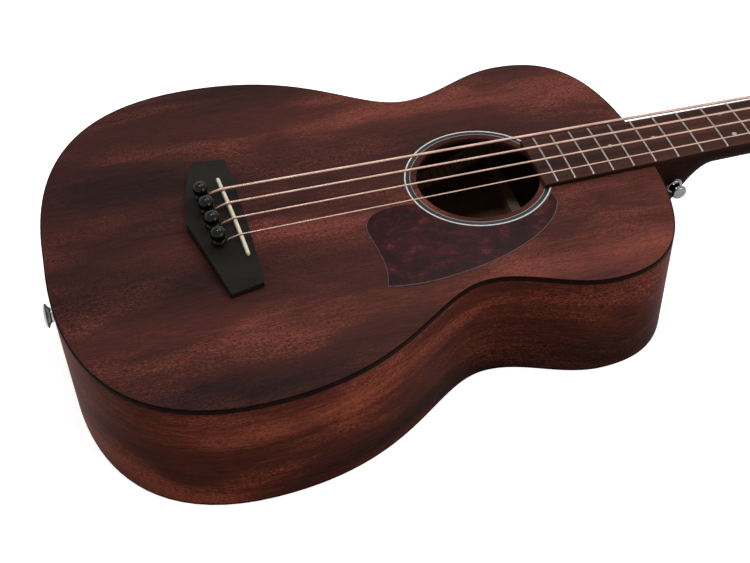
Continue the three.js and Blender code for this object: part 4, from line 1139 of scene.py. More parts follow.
@dataclass
class Bridge(Assembly):
    """The pin bridge with its saddle and pins."""

    length: float = 163.0
    front_length: float = 153.0
    front: float = 3.7
    bow: float = 1.2
    rear_end: float = 22.8
    apex: float = 41.3
    height: float = 9.5
    end_height: float = 4.0
    turn: float = 1.1
    rounding: float = 0.7
    steps: int = 32
    bass_handles: Pairs = ((0.55, 0.72), (0.9, 0.27))
    treble_handles: Pairs = ((0.3, 0.7), (0.66, 0.34))
    saddle_length: float = 96.0
    saddle_thickness: float = 3.0
    saddle_floor: float = 5.6
    saddle_end: float = 1.8
    saddle_steps: int = 40
    saddle_round: Pairs = ((1, 1.3), (0.8, 0.6), (0.42, 0.14))
    pin_collar: float = 4.7
    pin_neck: tuple[float, float] = (2.95, 2.95)
    pin_ball: float = 6.4
    pin_centre: float = 8.6
    pin_shank: Pairs = (
        (0, -16), (2.0, -16), (2.6, -15.2), (3.2, 0), (3.9, 0), (4.5, 0.2), (4.7, 0.7), (4.7, 1.4),
        (4.45, 1.95), (3.7, 2.2), (3.1, 2.5),
    )

    def top(self, y: float) -> float:
        """Returns the height of the bridge's crown at y."""
        return SEAM + lerp(self.height, self.end_height, (2 * y / self.length) ** 2)

    def rear(self, side: int) -> tuple[Vector, ...]:
        """Returns the corners of the rear edge's curve on one side, from its end to its apex."""
        half = side * self.length / 2
        (x1, y1), (x2, y2) = self.bass_handles if side > 0 else self.treble_handles
        return (
            plane(-self.rear_end, half),
            plane(-lerp(self.rear_end, self.apex, x1), y1 * half),
            plane(-lerp(self.rear_end, self.apex, x2), y2 * half),
            plane(-self.apex, 0),
        )

    def body(self) -> None:
        """Builds the bridge from end to end."""
        rows, lines, count = [], [], self.steps
        for i in range(-count, count + 1):
            side, share = -1 if i < 0 else 1, abs(i) / count
            rear = bezier(self.rear(side), 1 - share)
            front = plane(self.front + self.bow * (1 - share * share), side * share * self.front_length / 2)
            ring = [lift(p, z) for p in (rear, front) for z in (SEAM / 2, self.top(p.y))]
            rows.append([ring[0], ring[1], ring[3], ring[2]])
            lines.append([Vector((p.y, p.x, p.z)) for p in rows[-1]])
        form = Form().loft(rows, grain=lines)
        place, soft = DECK @ Matrix.Rotation(math.radians(self.turn), 4, "Z"), self.rounding
        self.add(form, "bridge_body", ["bridge_wood"], "bridge_wood", "bridge", place=place, edge=soft)

    def saddle(self) -> None:
        """Builds the saddle with a rounded crown and ends."""
        rows, half, count = [], self.saddle_length / 2, self.saddle_steps
        turn = Matrix.Rotation(-math.radians(90 - STRINGS.saddle_slant), 4, "Z")
        place = Matrix.Translation((-STRINGS.saddle_x, 0, 0)) @ turn
        for i in range(count + 1):
            along = -half * math.cos(math.pi * i / count)
            ease = max(abs(along) - half + self.saddle_end, 0.0) / self.saddle_end
            thick = self.saddle_thickness / 2 * max(math.sqrt(1 - ease * ease), 0.08)
            crown = STRINGS.fret_top(along) + STRINGS.above_saddle_fret - SEAM - 0.9 * ease**3
            flank = [(1, self.saddle_floor)] + [(across, crown - drop) for across, drop in self.saddle_round]
            ring = [(-across, z) for across, z in flank] + [(0, crown)] + flank[::-1]
            rows.append([place @ Vector((along, across * thick, z)) for across, z in ring])
        self.add(Form().loft(rows), "saddle_blade", ["bone"], "bone", "saddle")

    def pins(self) -> None:
        """Builds the four ball-headed pins."""
        start = math.acos((self.pin_centre - self.pin_neck[1]) / self.pin_ball)
        turns = [lerp(start, math.pi, i / 20) for i in range(21)]
        ball = [(self.pin_ball * math.sin(a), self.pin_centre - self.pin_ball * math.cos(a)) for a in turns]
        for i, name in enumerate(STRINGS.names):
            at = STRINGS.pin(i)
            place = Matrix.Translation((at.x, at.y, SEAM + self.top(abs(at.y) - self.pin_collar)))
            form = Form().lathe([*self.pin_shank, self.pin_neck, *ball], 40, place=place)
            self.add(form, f"pin_{name}", ["black_plastic"], "pin_black", f"bridge_pin_{name}", crease=50)

    def build(self) -> None:
        """Builds the bridge."""
        self.body()
        self.saddle()
        self.pins()


# ---- the neck ----


@dataclass
class Neck(Assembly):
    """The neck with its heel and headstock, the fretboard and the nut."""

    past_last_fret: float = 11.0
    end_width: float = 59.6
    nut_width: float = 43.0
    board_round: float = 0.9
    board_bevel: float = 0.26
    board_steps: int = 24
    nut_length: float = 6.0
    depth_at_nut: float = 19.5
    depth_at_heel: float = 21.0
    heel_reach: float = 56.0
    heel_clear: float = 1.0
    heel_curve: float = 2.2
    squareness: float = 2.2
    edge: float = 0.15
    head_angle: float = 13.0
    head_length: float = 172.0
    head_thickness: float = 14.0
    head_squareness: float = 16.0
    head_edge: float = 0.8
    shoulder: float = 34.0
    shoulder_half: float = 37.0
    tip_half: float = 40.0
    head_rise: float = 18.0
    dots: tuple[tuple[int, float], ...] = (
        (3, 0), (5, 0), (7, 0), (9, 0), (12, 14), (12, -14), (15, 0), (17, 0)
    )
    dot_profile: Pairs = ((0, -1), (2.0, -1), (2.0, -0.02), (1.85, 0.02), (0, 0.03))
    side_dot_profile: Pairs = ((0, -1), (1.0, -1), (1.0, 0), (0, 0.02))
    dot_rise: float = 0.03
    side_dot_height: float = 3.2
    fret_half_wide: float = 0.95
    fret_inset: float = 0.35
    fret_ease: float = 1.1
    fret_sunk: float = 0.05
    tenon: float = 4.5
    nut_lean: float = 4.0

    @property
    def board_end(self) -> float:
        """Returns where the fretboard ends over the soundboard."""
        return SCALE.fret(SCALE.frets) - self.past_last_fret

    @property
    def head_x(self) -> float:
        """Returns where the headstock starts."""
        return SCALE.length + self.nut_length

    def head_frame(self) -> Matrix:
        """Returns the headstock's frame in the deck's."""
        turn = Matrix.Rotation(math.radians(self.head_angle), 4, "Y")
        return Matrix.Translation((self.head_x, 0, 0)) @ turn

    def half_width(self, x: float) -> float:
        """Returns half the fretboard's width at x."""
        share = (x - self.board_end) / (SCALE.length - self.board_end)
        return lerp(self.end_width, self.nut_width, share) / 2

    def fretboard(self) -> None:
        """Builds the crowned board with its dots."""
        rows, drop, steps = [], STRINGS.drop, self.board_steps
        places = [self.board_end, self.board_end + 0.5]
        places += [lerp(self.board_end, SCALE.length, i / 10) for i in range(1, 10)] + [SCALE.length - SEAM]
        for number, x in enumerate(places):
            half, top = self.half_width(x), STRINGS.board - (0.5 if number == 0 else 0.0)
            edge, low, bevel = top - drop(half), self.board_round, self.board_bevel
            crown = [lerp(low - half, half - low, i / steps) for i in range(steps + 1)]
            ring = [(half, SEAM), (-half, SEAM), (-half, edge - low), (-half + bevel, edge - bevel)]
            ring += [(y, top - drop(y)) for y in crown] + [(half - bevel, edge - bevel), (half, edge - low)]
            rows.append([Vector((x, y, z)) for y, z in ring])
        form, count = Form().loft(rows), len(rows[0])
        # Slot 2 gives the board's two side faces a darker copy of the rosewood: painted shade.
        form.slots = [2 * (i % count in (1, count - 1)) for i in range(len(form.faces) - 2)] + [0, 0]
        for number, y in self.dots:
            x = (SCALE.fret(number) + SCALE.fret(number - 1)) / 2
            at = Matrix.Translation((x, y, STRINGS.board - drop(y) + self.dot_rise))
            form.lathe(self.dot_profile, 28, 1, at)
            side = Matrix.Translation((x, self.half_width(x) + self.dot_rise, self.side_dot_height))
            form.lathe(self.side_dot_profile, 20, 1, side @ Matrix.Rotation(-math.pi / 2, 4, "X"))
        finishes = ["fretboard_rosewood", "pearl", "board_side_rosewood_painted_shade"]
        self.add(form, "fretboard_with_dots", finishes, "fingerboard_wood", "fretboard", crease=30)

    def frets(self) -> None:
        """Builds the fret wire, crowned and bevelled at its ends."""
        form, wide = Form(), self.fret_half_wide
        shares = [-1, -0.985, -0.96, *(-0.9 + 0.15 * i for i in range(13)), 0.96, 0.985, 1]
        arc = [(math.cos(math.pi * i / 8), math.sin(math.pi * i / 8)) for i in range(9)]
        for number in range(1, SCALE.frets + 1):
            x, rows = SCALE.fret(number), []
            half = self.half_width(x) - self.fret_inset
            for y in (half * share for share in shares):
                ease = min((half - abs(y)) / self.fret_ease, 1.0)
                high = STRINGS.fret * (0.3 + 0.7 * math.sqrt(max(1 - (1 - ease) ** 2, 0.0)))
                base = STRINGS.board - STRINGS.drop(y) - self.fret_sunk
                rows.append([Vector((x - wide * cos, y, base + high * sin**0.8)) for cos, sin in arc])
            form.loft(rows)
        self.add(form, "fret_wire", ["fret_wire"], "fingerboard_wood", crease=50)

    def section(self, half: float, depth: float, power: float, edge: float) -> list[tuple[float, float]]:
        """Returns a cross-section of the neck.

        Args:
            half: half its width.
            depth: its depth.
            power: how square it is: 2 is an ellipse.
            edge: how far its two upper edges are rounded.

        Returns:
            Across and height of each point, from one upper edge to the other.
        """
        ring = [(half - edge, 0.0)]
        for i in range(41):
            turn = math.pi * i / 40
            across = math.copysign(abs(math.cos(turn)) ** (2 / power), math.cos(turn))
            ring.append((half * across, -edge - (depth - edge) * max(math.sin(turn), 0.0) ** (2 / power)))
        return ring + [(edge - half, 0.0)]

    def head_half(self, u: float) -> float:
        """Returns half the headstock's width at a distance from the nut."""
        start, wide, top = self.nut_width / 2, self.shoulder_half, self.tip_half
        shoulder = self.shoulder
        straight = self.head_length - self.head_rise
        if shoulder <= u <= straight:
            return lerp(wide, top, (u - shoulder) / (straight - shoulder))
        if u < shoulder:
            corners = [(0, start), (shoulder / 3, start), (shoulder / 2.2, wide), (shoulder, wide)]
            steps = 60
        else:
            corners = [(straight, top), (straight + self.head_rise / 2, top)]
            corners += [(self.head_length, top / 1.6), (self.head_length, 0)]
            steps = 90
        curve = [bezier([plane(*corner) for corner in corners], i / steps) for i in range(steps + 1)]
        return next((point.y for point in curve if point.x >= u), curve[-1].y)

    def depth(self, x: float) -> float:
        """Returns the neck's depth at x, without its heel."""
        share = (x - SCALE.body_end) / (SCALE.length - SCALE.body_end)
        return lerp(self.depth_at_heel, self.depth_at_nut, share)

    def wood(self) -> None:
        """Builds the neck in one run from inside the body to the headstock's tip."""
        end, nut, heel, rows = SCALE.body_end, SCALE.length, DEPTH.neck - self.heel_clear, []

        def row(x: float, deep: float, at: float | None = None, turn: float = 0.0) -> None:
            """Adds a section as wide as the board is at a place, leaning by a turn in degrees."""
            place = Matrix.Translation((x, 0, 0)) @ Matrix.Rotation(math.radians(turn), 4, "Y")
            ring = self.section(self.half_width(x if at is None else at), deep, self.squareness, self.edge)
            rows.append([place @ Vector((0, y, z)) for y, z in ring])

        row(end - self.tenon, heel, at=end)
        for i in range(25):
            x = end + i / 24 * self.heel_reach
            drop = math.sin((1 - i / 24) * math.pi / 2) ** self.heel_curve
            row(x, lerp(self.depth(x), heel, drop))
        for i in range(1, 12):
            x = lerp(end + self.heel_reach, nut - 8, i / 11)
            row(x, self.depth(x))
        row(nut, self.depth_at_nut, turn=self.nut_lean)
        shares = [0, 0.03, 0.07, 0.11, 0.15, 0.19, 0.23, 0.3, 0.5, 0.7, 0.86, 0.895]
        shares += [1 - 0.105 * (1 - i / 14) ** 2 for i in range(1, 15)]
        for u in (share * self.head_length for share in shares):
            fade = min(u / self.shoulder, 1.0)
            deep = lerp(self.depth_at_nut, self.head_thickness, fade**0.7)
            power = lerp(self.squareness, self.head_squareness, fade**2)
            edge = lerp(self.edge, self.head_edge, fade)
            ring = self.section(max(self.head_half(u), 0.4), deep, power, edge)
            rows.append([self.head_frame() @ Vector((u, y, z)) for y, z in ring])
        # The neck's finish is its mahogany darkened as painted shade.
        self.add(Form().loft(rows), "neck_wood", ["neck_mahogany_painted_shade"], "neck_wood", "neck", crease=40)

    def build(self) -> None:
        """Builds the neck."""
        self.wood()
        self.fretboard()
        self.frets()
        self.keep("bone", "nut")
        self.keep("steel", "truss_rod", "truss_rod_nut")


@dataclass(frozen=True)
class Button:
    """One strap button. Its base, waist, cap, washer and screw are radii, and deep is its screw's length."""

    name: str
    finish: str
    place: Matrix
    base: float
    waist: float
    cap: float
    tall: float
    cap_tall: float
    washer: float
    screw: float
    deep: float

    def profile(self) -> list[tuple[float, float]]:
        """Returns the profile from the screw's point to the middle of the cap."""
        low, lip = self.tall - self.cap_tall, 0.8
        corners = [plane(self.base, 0.9), plane(self.waist, 1.4), plane(self.waist, low - 1.2)]
        curve = [bezier([*corners, plane(self.cap - 0.5, low)], i / 14) for i in range(15)]
        turns = [math.pi / 2 * i / 8 for i in range(8)]
        rise, screw, deep = self.cap_tall - lip, self.screw, self.deep
        crown = [(self.cap * math.cos(turn) ** 0.6, low + lip + rise * math.sin(turn)) for turn in turns]
        stem = [(0, -deep), (screw * 0.5, 2 - deep), (screw, 6 - deep), (screw, 0)]
        return [*stem, (self.base, 0), *((p.x, p.y) for p in curve), *crown, (0, self.tall)]


@dataclass
class StrapButtons(Assembly):
    """The two strap buttons with their washers."""

    heel_spot: tuple[float, float, float] = (20.5, -25.9, -28)
    tail_level: float = -58.5
    washer_tall: float = 1.3
    washer_bevel: float = 0.3
    washer_seat: float = 1.4

    def build(self) -> None:
        """Builds both buttons."""
        heel = Matrix.Translation((SCALE.body_end, 0, 0)) @ Matrix.Translation(self.heel_spot)
        tail = Matrix.Translation((OUTLINE.tail - SEAM, 0, self.tail_level))
        heel, tail = heel @ Matrix.Rotation(math.pi / 2, 4, "X"), tail @ Matrix.Rotation(-math.pi / 2, 4, "Y")
        buttons = (
            # The heel button's darker chrome is a painted reflection of the shade under the heel.
            Button("heel", "chrome_painted_dark_reflection", heel, 6.2, 4.0, 6.6, 11.0, 3.4, 7.0, 2.2, 20),
            Button("tail", "chrome", tail, 8.2, 5.2, 10.2, 9.6, 3.2, 15.0, 2.6, 26),
        )
        tall, bevel = self.washer_tall, self.washer_bevel
        for button in buttons:
            place = button.place @ Matrix.Translation((0, 0, self.washer_seat))
            form, node = Form().lathe(button.profile(), 56, place=place), f"{button.name}_button"
            self.add(form, f"{button.name}_strap_button", [button.finish], "chrome", node, crease=40)
            inner, outer = button.screw + SEAM, button.washer
            ring = [(inner, tall), (inner, 0), (outer - bevel, 0), (outer, bevel)]
            ring += [(outer, tall - bevel), (outer - bevel, tall)]
            form = Form().lathe(ring, 48, place=button.place, ring=True)
            self.add(form, f"{button.name}_washer", ["felt"], "felt", f"{node}_washer", crease=40)


# ---- tuners and strings ----


@dataclass
class Tuner(Assembly):
    """One open tuner: base plate, key and worm, post and gear, bushing and the string wound on the post."""

    neck: Neck
    index: int
    from_nut: float = 58.0
    spacing: float = 74.0
    across: float = 46.0
    teeth: int = 18
    module: float = 1.25
    addendum: float = 0.85
    dedendum: float = 1.15
    backlash: float = 0.46
    worm_radius: float = 4.1
    turns: int = 3
    plate: float = 1.4
    plate_width: float = 25.0
    face: float = 5.4
    post_radius: float = 4.8
    post_waist: float = 4.2
    post_neck: float = 9.0
    slot_half: float = 1.6
    flank: float = math.tan(math.radians(20))
    plate_reach: float = 12.0
    plate_past_worm: float = 6.4
    plate_corner: float = 3.0
    lug: float = 2.4
    lug_round: tuple[float, float] = (4.8, 4.6)
    play: float = 0.15
    key_reach: float = 11.0
    lobe: float = 11.5
    lobe_depth: float = 0.16
    laps: tuple[float, ...] = (1.5, 2.25, 2.75, 3.25)
    lap_steps: int = 48
    screw_profile: Pairs = (
        (0, -1.5), (1.2, -1.45), (2.1, -1.1), (2.5, -0.4), (2.5, 0), (1.2, 0), (1.2, 3), (0, 3)
    )

    @property
    def name(self) -> str:
        """Returns the string's name."""
        return STRINGS.names[self.index]

    @property
    def hand(self) -> int:
        """Returns 1 on the bass side and -1 on the treble side."""
        return 1 if STRINGS.offset(self.index) > 0 else -1

    @property
    def spot(self) -> Vector:
        """Returns the post's place on the headstock."""
        outer = self.index in (0, len(STRINGS.names) - 1)
        return plane(self.from_nut + (0 if outer else self.spacing), self.hand * self.across / 2)

    @property
    def upright(self) -> Matrix:
        """Returns the tuner's frame in row metres."""
        return DECK @ self.neck.head_frame() @ Matrix.Translation(lift(self.spot, 0))

    @property
    def mirrored(self) -> Matrix:
        """Returns the same frame, mirrored on the treble side."""
        return self.upright @ Matrix.Diagonal((1, self.hand, 1, 1))

    @property
    def pitch(self) -> float:
        """Returns the tooth pitch."""
        return math.pi * self.module

    @property
    def gear_radius(self) -> float:
        """Returns the gear's pitch radius."""
        return self.teeth * self.module / 2

    @property
    def tooth_half(self) -> float:
        """Returns half a tooth's thickness on the pitch line."""
        return (self.pitch / 2 - self.backlash) / 2

    @property
    def plate_bottom(self) -> float:
        """Returns the height of the plate's outer face."""
        return -(self.neck.head_thickness + SEAM + self.plate)

    @property
    def worm_level(self) -> float:
        """Returns the height of the worm's axis."""
        return self.plate_bottom - CLEARANCE - self.worm_radius - self.addendum

    @property
    def worm_x(self) -> float:
        """Returns the worm's place along the head from the post."""
        return -(self.gear_radius + self.worm_radius)

    @property
    def lug_inner(self) -> float:
        """Returns how far the lugs' inner faces stand from the middle."""
        return self.turns * self.pitch / 2 + self.tooth_half + self.flank * self.dedendum + 0.6

    @property
    def lug_outer(self) -> float:
        """Returns how far the lugs' outer faces stand from the middle."""
        return self.lug_inner + self.lug

    def base(self) -> None:
        """Builds the base plate with its lugs and screws."""
        near, far, half = self.worm_x - self.plate_past_worm, self.plate_reach, self.plate_width / 2
        corner, loop = self.plate_corner, []
        for cx, cy, start in ((far, half, 0), (near, half, 90), (near, -half, 180), (far, -half, 270)):
            centre = plane(cx - math.copysign(corner, cx), cy - math.copysign(corner, cy))
            turns = [math.radians(start + 15 * i) for i in range(7)]
            loop += [centre + plane(math.cos(turn), math.sin(turn)) * corner for turn in turns]
        low, high = self.plate_bottom, self.plate_bottom + self.plate
        form = Form().loft([[lift(p, z) for p in loop] for z in (low, high)])
        wide, deep = self.lug_round
        arc = [math.pi * i / 14 for i in range(15)]
        ring = [(wide * math.cos(a), self.worm_level - deep * math.sin(a)) for a in arc]
        ring += [(-wide, low + 0.4), (wide, low + 0.4)]
        for side in (-1, 1):
            ends = (side * self.lug_inner, side * self.lug_outer)
            form.loft([[Vector((self.worm_x + x, y, z)) for x, z in ring] for y in ends])
        name, place = self.name, self.mirrored
        self.add(
            form, f"tuner_base_{name}", ["nickel"], "nickel", f"tuner_plate_{name}",
            place=place, crease=30, edge=0.3, segments=2,
        )
        screws = Form()
        for x in (near + corner, far - corner):
            for y in (-half + corner, half - corner):
                screws.lathe(self.screw_profile, 24, place=Matrix.Translation((x, y, low)))
        self.add(screws, f"tuner_screws_{name}", ["chrome"], "chrome", place=place, crease=40)

    def shaft(self, start: float, paddle: float) -> list[tuple[float, float]]:
        """Returns the profile of the key's shaft, with the worm's core between the lugs.

        Args:
            start: how far the shaft's collars stand from the middle.
            paddle: where the key's lobed plate starts.

        Returns:
            Radius and place along the shaft of each corner.
        """
        root, core = self.worm_radius - self.dedendum, self.lug_inner - self.play
        return [
            (0, -(start + 1.5)), (3.3, -(start + 1.5)), (3.8, -(start + 1.1)), (3.8, -start), (2.5, -start),
            (2.5, -core), (root, -core), (root, core), (2.5, core), (2.5, start), (3.3, start),
            (3.6, start + 0.3), (3.6, start + 2.2), (3.2, start + 2.8), (3.5, start + 3.4),
            (3.4, start + 4.4), (2.6, start + 6.5), (2.4, paddle - 1), (2.6, paddle + 4),
            (1.8, paddle + 9), (0, paddle + 11),
        ]

    def worm_point(self, x: float, y: float, z: float) -> Vector:
        """Returns a point that is given from the middle of the worm."""
        return Vector((self.worm_x + x, y, self.worm_level + z))

    def thread(self) -> list[Ring]:
        """Returns the rings of the worm's thread."""
        inner, tip = self.worm_radius - self.dedendum - 0.35, self.worm_radius + self.addendum
        foot = self.tooth_half + self.flank * (self.worm_radius - inner)
        crest = self.tooth_half - self.flank * self.addendum
        corners, rows, steps = [(inner, -foot), (tip, -crest), (tip, crest), (inner, foot)], [], 32
        for i in range(self.turns * steps + 1):
            along = -self.turns / 2 + i / steps
            turn = 2 * math.pi * (along - 0.25)
            x, z = math.sin(turn), math.cos(turn)
            shift = along * self.pitch
            rows.append([self.worm_point(r * x, shift + s, r * z) for r, s in corners])
        return rows

    def key(self) -> None:
        """Builds the key: shaft, worm and three-lobed paddle."""
        start = self.lug_outer + self.play
        paddle = start + self.key_reach
        axis = Matrix.Translation((self.worm_x, 0, self.worm_level)) @ Matrix.Rotation(-math.pi / 2, 4, "X")
        form = Form().lathe(self.shaft(start, paddle), 40, place=axis).loft(self.thread())
        centre, rows = plane(0, paddle + self.lobe * 0.92), []
        turns = [2 * math.pi * i / 72 for i in range(72)]
        reach = [self.lobe * (1 + self.lobe_depth * math.cos(3 * turn)) - 0.2 for turn in turns]
        for inset, z in ((-1.5, 2.2), (-0.6, 1.9), (-0.15, 1.3), (0, 0.6)):
            ways = [plane(math.sin(turn), math.cos(turn)) for turn in turns]
            loop = [centre + way * (r + inset) for way, r in zip(ways, reach)]
            rows.append([self.worm_point(p.x, p.y, z) for p in loop])
        rows += [[Vector((p.x, p.y, 2 * self.worm_level - p.z)) for p in row] for row in rows[::-1]]
        name = self.name
        self.add(
            form.loft(rows), f"key_{name}_with_worm", ["chrome"], "chrome", f"tuner_key_{name}",
            body=f"key_{name}", place=self.mirrored, crease=40,
        )

    def coil(self) -> tuple[list[Vector], float, list[Vector]]:
        """Works out the string on the post.

        The string's own wrap lies below the coil's start, so that the coil turns clear of the string.

        Returns:
            The coil's path, the direction of the post's slot and the string's own wrap.
        """
        radius, turns, steps = STRINGS.radius(self.index), self.laps[self.index], self.lap_steps
        around = self.post_waist + CLEARANCE + radius
        level, top = 3.1 + CLEARANCE + radius, self.post_neck + 0.45 + radius
        bottom = level + 2 * radius + CLEARANCE
        leaves = STRINGS.offset(self.index) * STRINGS.at_nut
        away = plane(-self.spot.x, leaves - self.spot.y)
        meet = math.atan2(away.y, away.x) + self.hand * math.acos(around / away.length)

        def at(laps: float, height: float, r: float = around) -> Vector:
            """Returns a point round the post, some laps on from where the string arrives."""
            return polar(r, meet + self.hand * laps * 2 * math.pi, height)

        count = round((turns - 0.5) * steps)
        path = [at(lerp(0.5, turns, i / count), lerp(bottom, top, i / count)) for i in range(count + 1)]
        path += [at(turns, top, around - radius - CLEARANCE), at(turns, top, 1.2)]
        wrap = [at(i / steps, level) for i in range(28)]
        return path, meet + self.hand * turns * 2 * math.pi, wrap

    def post(self) -> None:
        """Builds the post with its gear, its slotted head and the coil on it."""
        path, slot, _ = self.coil()
        radius, waist, low, neck = self.post_radius, self.post_waist, self.plate_bottom, self.post_neck
        gear_top, gear_bottom = self.worm_level + self.face / 2, self.worm_level - self.face / 2
        form = Form().lathe([
            (0, gear_bottom - 1.2), (radius - 0.5, gear_bottom - 1.2), (radius, gear_bottom - 0.8),
            (radius, gear_top), (6.4, gear_top), (6.4, low - 0.35), (radius, low - 0.35), (radius, 2.5),
            (waist + 0.15, 3.0), (waist, 3.3), (waist, neck), (0, neck),
        ], 48)
        heads = [(waist, neck), (waist, 13.0), (waist + 0.1, 13.3), (radius, 13.9), (radius, 16.2)]
        heads += [(radius - 0.3, 16.8), (radius - 0.8, 17.0)]
        for side in (0, math.pi):
            rows = []
            for r, z in heads:
                limit = math.asin(self.slot_half / r)
                turns = [lerp(limit, math.pi - limit, i / 20) + side + slot for i in range(21)]
                rows.append([polar(r, turn, z) for turn in turns])
            form.loft(rows)
        name, upright, winding = self.name, self.upright, Form().tube(path, STRINGS.radius(self.index))
        post, coiled = f"tuner_post_{name}", f"string_winding_{name}"
        for made, piece, finish, slot_name, node, place, crease in (
            (form, f"post_{name}_with_gear", "chrome", "chrome", post, upright, 40),
            (self.gear(), f"gear_{name}", "nickel", "chrome", post, self.mirrored, 25),
            (winding, f"coil_{name}", "wound_bronze", "bronze", coiled, upright, 60),
        ):
            self.add(made, piece, [finish], slot_name, node, body=f"post_{name}", place=place, crease=crease)

    def gear(self) -> Form:
        """Returns the gear, its teeth slanted to the worm's lead."""
        add, ded, middle = self.addendum, self.dedendum, self.gear_radius
        thick, slant = self.tooth_half, self.flank
        half = [(middle - ded, thick + slant * ded), (middle, thick), (middle + add, thick - slant * add)]
        corners = [(r, -s) for r, s in half] + half[::-1]
        lead = self.pitch / (2 * math.pi * self.worm_radius)
        rows = []
        for height in (share * self.face / 2 for share in (-1, -0.5, 0, 0.5, 1)):
            level, twist = self.worm_level + height, math.pi + lead * height / middle
            starts = [2 * math.pi * tooth / self.teeth + twist for tooth in range(self.teeth)]
            rows.append([polar(r, start + s / r, level) for start in starts for r, s in corners])
        return Form().loft(rows)

    def bushing(self) -> None:
        """Builds the bushing that the post turns in."""
        inner, name = self.post_radius + self.play, self.name
        form = Form().lathe([
            (inner, -13.0), (6.5, -13.0), (6.5, SEAM), (8.3, SEAM), (8.6, SEAM + 0.3), (8.5, 1.1),
            (7.9, 1.7), (6.9, 2.1), (inner + 0.3, 2.1), (inner, 1.9),
        ], 48, ring=True)
        self.add(form, f"bushing_{name}", ["chrome"], "chrome", f"tuner_bushing_{name}", place=self.upright)

    def build(self) -> None:
        """Builds the tuner."""
        self.base()
        self.key()
        self.post()
        self.bushing()


@dataclass
class Strings(Assembly):
    """The four strings, from their ball ends to the tuners."""

    neck: Neck
    tuners: list[Tuner]
    bridge_height: float = 9.5
    under_plate: float = -6.6
    ball: float = 2.6
    bend: float = 1.6

    def build(self) -> None:
        """Builds the strings along their real routes."""
        low = self.under_plate - SEAM - self.ball
        turns = [math.pi * i / 10 for i in range(11)]
        ball = [(self.ball * math.sin(turn), -self.ball * math.cos(turn)) for turn in turns]
        for i, tuner in enumerate(self.tuners):
            radius, pin, saddle, nut = STRINGS.radius(i), STRINGS.pin(i), STRINGS.saddle(i), STRINGS.nut(i)
            stand = pin.x + STRINGS.pin_to_string
            wrap = [self.neck.head_frame() @ (lift(tuner.spot, 0) + p) for p in tuner.coil()[2]]
            leave = saddle.lerp(nut, (self.neck.head_x - saddle.x) / (nut.x - saddle.x))
            leave.x -= CLEARANCE
            corners = [
                Vector((stand, pin.y, low)),
                Vector((stand, pin.y, SEAM + self.bridge_height + radius + CLEARANCE)),
                Vector((saddle.x - 1.5, saddle.y, saddle.z)),
                leave,
                wrap[0],
            ]
            form = Form().tube(rounded(corners, self.bend) + wrap[1:], radius, 14)
            form.lathe(ball, 20, place=Matrix.Translation((stand, pin.y, low)))
            name = tuner.name
            self.add(form, f"wound_string_{name}", ["wound_bronze"], "bronze", f"string_{name}", crease=60)


# ---- the studio ----


@dataclass(frozen=True)
class Lamp:
    """A soft rectangular lamp that looks at a point."""

    name: str
    position: tuple[float, float, float]
    size: tuple[float, float]
    power: float
    target: tuple[float, float, float] = (0.15, 0.0, 0.05)

    def build(self) -> None:
        """Adds the lamp."""
        data = bpy.data.lights.new(self.name, "AREA")
        data.shape = "RECTANGLE"
        data.size, data.size_y = self.size
        data.energy = self.power
        made = bpy.data.objects.new(self.name, data)
        made.location = self.position
        way = Vector(self.target) - Vector(self.position)
        made.rotation_euler = way.to_track_quat("-Z", "Y").to_euler()
        bpy.context.scene.collection.objects.link(made)


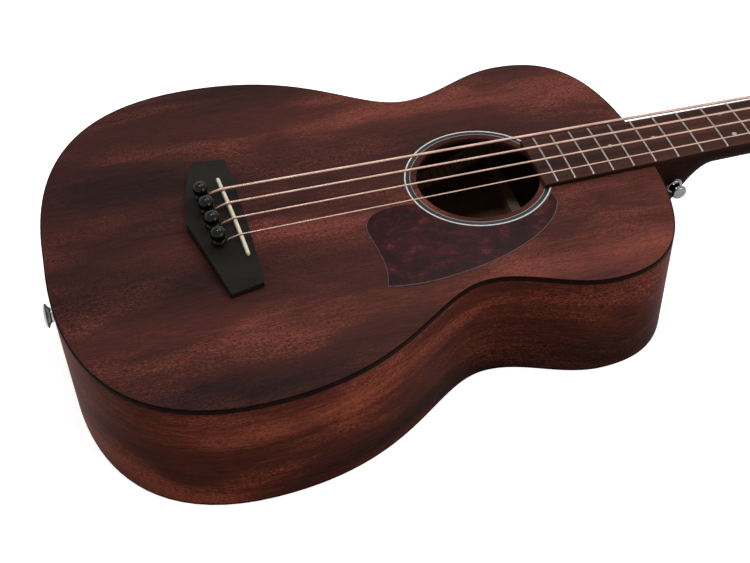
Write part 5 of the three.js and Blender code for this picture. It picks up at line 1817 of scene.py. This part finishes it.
@dataclass
class Studio:
    """The floor, the lamps, the world and the camera."""

    camera_at: tuple[float, float, float] = (-0.0534336, -0.76101394, 0.78109663)
    camera_way: tuple[float, float, float] = (0.148065, 0.694229, -0.704359)
    camera_up: tuple[float, float, float] = (0.217436, 0.671932, 0.707976)
    lens: float = 61.300248
    sensor: float = 36.0
    world_level: float = 0.2
    floor_lift: float = 0.85
    floor_half: float = 9.0
    floor_level: float = -0.0005
    floor_colour: tuple[float, ...] = (0.93, 0.93, 0.93, 1)
    lamps: tuple[Lamp, ...] = (
        Lamp("overhead", (0.45, 0.25, 0.85), (0.6, 0.5), 3.2),
        Lamp("front_right", (1.25, -1.6, 0.65), (1.2, 0.8), 10.5),
        Lamp("above_the_bridge", (-0.02, 0.0, 0.85), (0.12, 0.12), 1.8, (-0.02, 0.0, 0.1)),
    )

    def camera(self) -> None:
        """Sets the camera at the photograph's angle, and plain colours."""
        way, up = Vector(self.camera_way).normalized(), Vector(self.camera_up).normalized()
        right = way.cross(up).normalized()
        up = right.cross(way)
        data = bpy.data.cameras.new("photo_camera")
        data.lens, data.sensor_width, data.sensor_fit = self.lens, self.sensor, "HORIZONTAL"
        data.clip_start = 0.02
        made = bpy.data.objects.new("photo_camera", data)
        turn = Matrix((right, up, -way)).transposed().to_4x4()
        made.matrix_world = Matrix.Translation(self.camera_at) @ turn
        bpy.context.scene.collection.objects.link(made)
        bpy.context.scene.camera = made
        bpy.context.scene.view_settings.view_transform = "Standard"

    def world(self) -> None:
        """Sets a white world that lights the object at a plain level."""
        world = bpy.data.worlds.new("studio_white")
        bpy.context.scene.world = world
        world.use_nodes = True
        tree, back = Tree(world.node_tree), world.node_tree.nodes["Background"]
        tree.feed(back.inputs["Color"], (1, 1, 1, 1))
        inputs = {"Value": tree.seen(), "To Min": self.world_level, "To Max": 1.0}
        tree.feed(back.inputs["Strength"], tree.node("ShaderNodeMapRange", inputs))

    def floor(self) -> None:
        """Adds a plain pale floor that keeps the object's shadow."""
        half, level, form = self.floor_half, self.floor_level, Form()
        corners = ((-half, -half), (half, -half), (half, half), (-half, half))
        form.points = form.grain = [Vector((x, y, level)) for x, y in corners]
        form.faces, form.slots = [[0, 1, 2, 3]], [0]
        tree = ShaderTree("studio_floor")
        glow = tree.seen() * self.floor_lift
        tree.surface(Base_Color=self.floor_colour, Roughness=0.9, Emission_Color=glow, Emission_Strength=1.0)
        form.make("studio_floor", [tree.material], Matrix())

    def build(self) -> None:
        """Builds the studio."""
        self.camera()
        self.world()
        self.floor()
        for lamp in self.lamps:
            lamp.build()


def main() -> None:
    """Builds every piece, then the studio."""
    logging.basicConfig(level=logging.INFO, format="%(message)s")
    finishes = {finish.name: finish.material() for finish in FINISHES}
    SoundBox(finishes).build()
    Pickguard(finishes).build()
    Bridge(finishes).build()
    neck = Neck(finishes)
    neck.build()
    StrapButtons(finishes).build()
    tuners = [Tuner(finishes, neck, i) for i in range(len(STRINGS.names))]
    for tuner in tuners:
        tuner.build()
    Strings(finishes, neck, tuners).build()
    Studio().build()
    bpy.context.view_layer.update()


if __name__ == "__main__":
    main()
